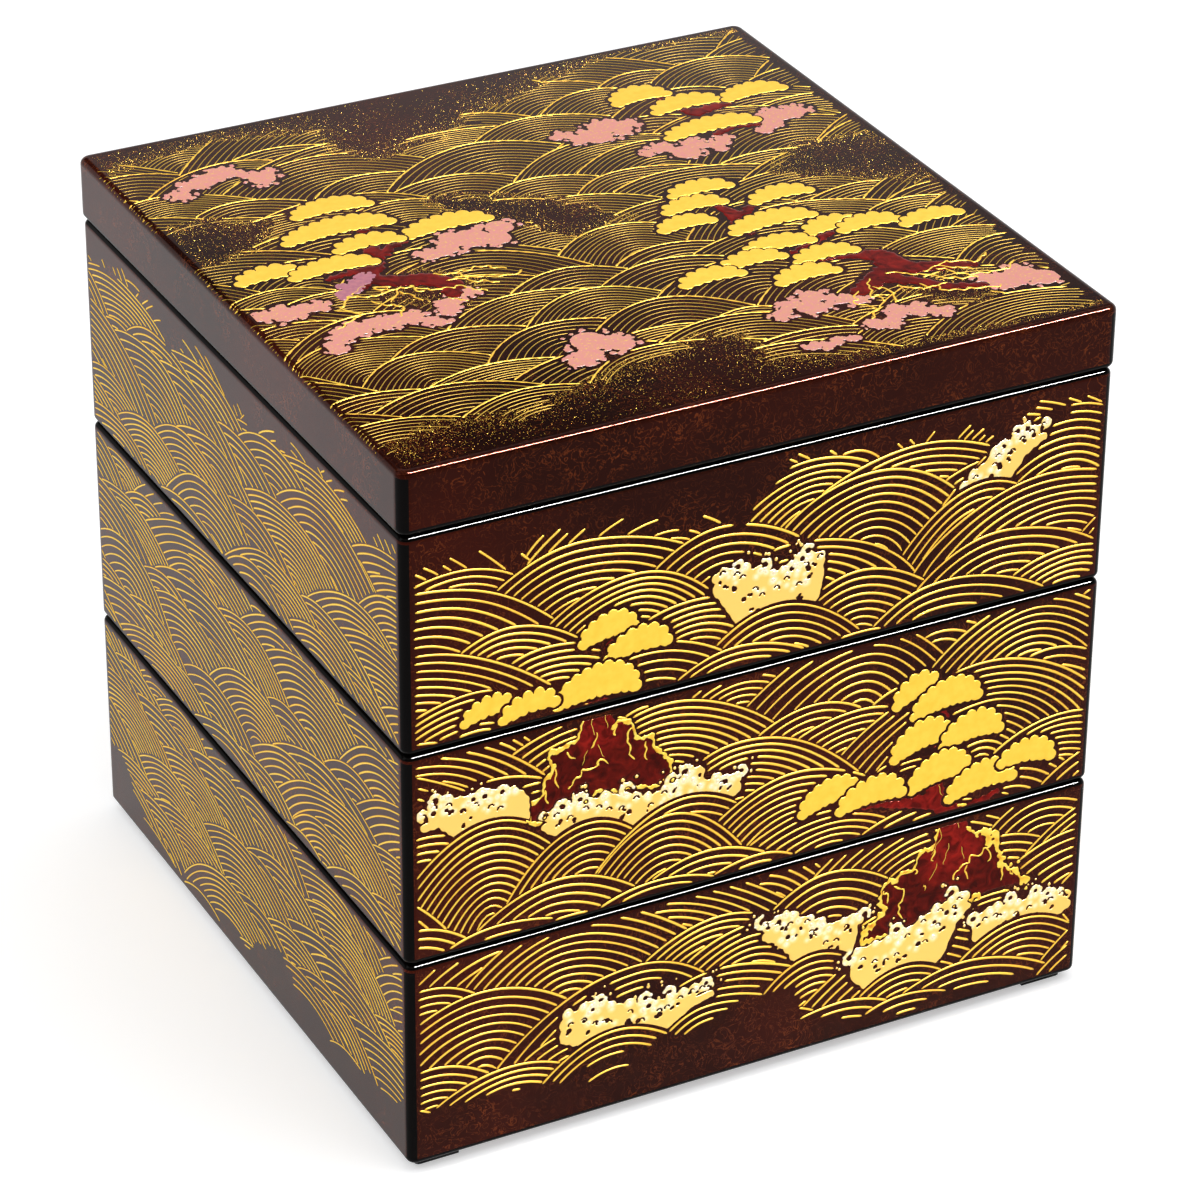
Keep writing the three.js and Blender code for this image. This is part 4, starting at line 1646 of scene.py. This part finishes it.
# %% [markdown]
# ## The studio
# The box stands on a white floor in soft light from above, which leaves only a faint shadow at
# its foot. A large lamp helps the front side towards the right, and a small one the left side.
# The left side and the back half of the lid mirror a bright floor and a bright horizon at a
# flat angle, which lays a grey veil over them. The sky is dark in the one band that the front
# half of the lid mirrors. A narrow strip lamp, seen in mirror images alone, draws the thin
# white lines along the rounded edges.

# %% Floor
FLOOR_REACH = 6000.0
floor_material = new_material(
    "white_floor", Roughness=0.9, IOR=1.2, Base_Color=(0.78, 0.785, 0.795, 1),
    Emission_Color=(1, 1, 1, 1), Emission_Strength=0.42)
corner = np.array([[-1, -1, 0], [1, -1, 0], [1, 1, 0], [-1, 1, 0]]) * FLOOR_REACH
floor_mesh = bpy.data.meshes.new("floor")
floor_mesh.from_pydata((corner * MM).tolist(), [], [(0, 1, 2, 3)])
floor_mesh.materials.append(floor_material)
floor_object = bpy.data.objects.new("floor", floor_mesh)
bpy.context.scene.collection.objects.link(floor_object)

# %% World light
world = bpy.data.worlds.new("studio")
world.use_nodes = True
bpy.context.scene.world = world
sky = world.node_tree.nodes["Background"]
sky.inputs["Color"].default_value = (1, 1, 1, 1)
direction = add_node(world, "ShaderNodeTexCoord").outputs["Generated"]
height = add_node(world, "ShaderNodeSeparateXYZ", {0: direction}).outputs["Z"]
horizon = span(world, height, 0.385, 0.465, 1.0, 0.05)
overhead = span(world, height, 0.58, 0.70, 0.0, 1.0)
world.node_tree.links.new(math_node(world, "ADD", horizon, overhead), sky.inputs["Strength"])


# %% Lamps
def area_lamp(name, place, aim, size, watts):
    """A rectangular lamp at a place in metres, turned to face a point."""
    lamp = bpy.data.lights.new(name, "AREA")
    lamp.shape = "RECTANGLE"
    lamp.size, lamp.size_y = size
    lamp.energy = watts
    holder = bpy.data.objects.new(name, lamp)
    holder.location = place
    holder.rotation_euler = (Vector(aim) - Vector(place)).to_track_quat("-Z", "Y").to_euler()
    bpy.context.scene.collection.objects.link(holder)
    return holder


area_lamp("key", (0.62, -0.72, 1.80), (0, 0, 0.1), (1.3, 0.9), 3)
area_lamp("side", (-0.75, 0.05, 0.62), (-0.2, 0.06, 0.0), (0.4, 0.4), 1.2)
strip = area_lamp("edge_strip", (0.50, -0.66, 1.31), (0.50, 0, 0.15), (0.84, 0.07), 480)
strip.visible_diffuse = False
print("lamps placed")

# %% [markdown]
# ## The camera
# The place was found from the corners of the lid and the seams in the photograph: 27.5 degrees
# to the left of the front, 29.8 degrees up, far away behind a long lens.

# %% The camera
AZIMUTH = -27.53
ELEVATION = 29.76
ROLL = 0.45
DISTANCE = 1.3146
LENS = 149.6
OFF_RIGHT, OFF_UP = -0.00474, 0.00820
body_middle = Vector((0, 0, (tier_bottoms[0] + tier_half) * MM))
azimuth, elevation, roll = (math.radians(a) for a in (AZIMUTH, ELEVATION, ROLL))
backward = Vector((math.sin(azimuth) * math.cos(elevation),
                   -math.cos(azimuth) * math.cos(elevation), math.sin(elevation)))
level = Vector((0, 0, 1)).cross(backward).normalized()
upright = backward.cross(level)
right = math.cos(roll) * level + math.sin(roll) * upright
up = -math.sin(roll) * level + math.cos(roll) * upright
camera_data = bpy.data.cameras.new("camera")
camera_data.lens = LENS
camera_data.sensor_width = 36
camera_data.clip_end = 20
camera = bpy.data.objects.new("camera", camera_data)
place = body_middle - right * OFF_RIGHT - up * OFF_UP + backward * DISTANCE
turned = Matrix((right, up, backward)).transposed().to_4x4()
camera.matrix_world = Matrix.Translation(place) @ turned
bpy.context.scene.collection.objects.link(camera)
bpy.context.scene.camera = camera
bpy.context.scene.view_settings.view_transform = "Standard"
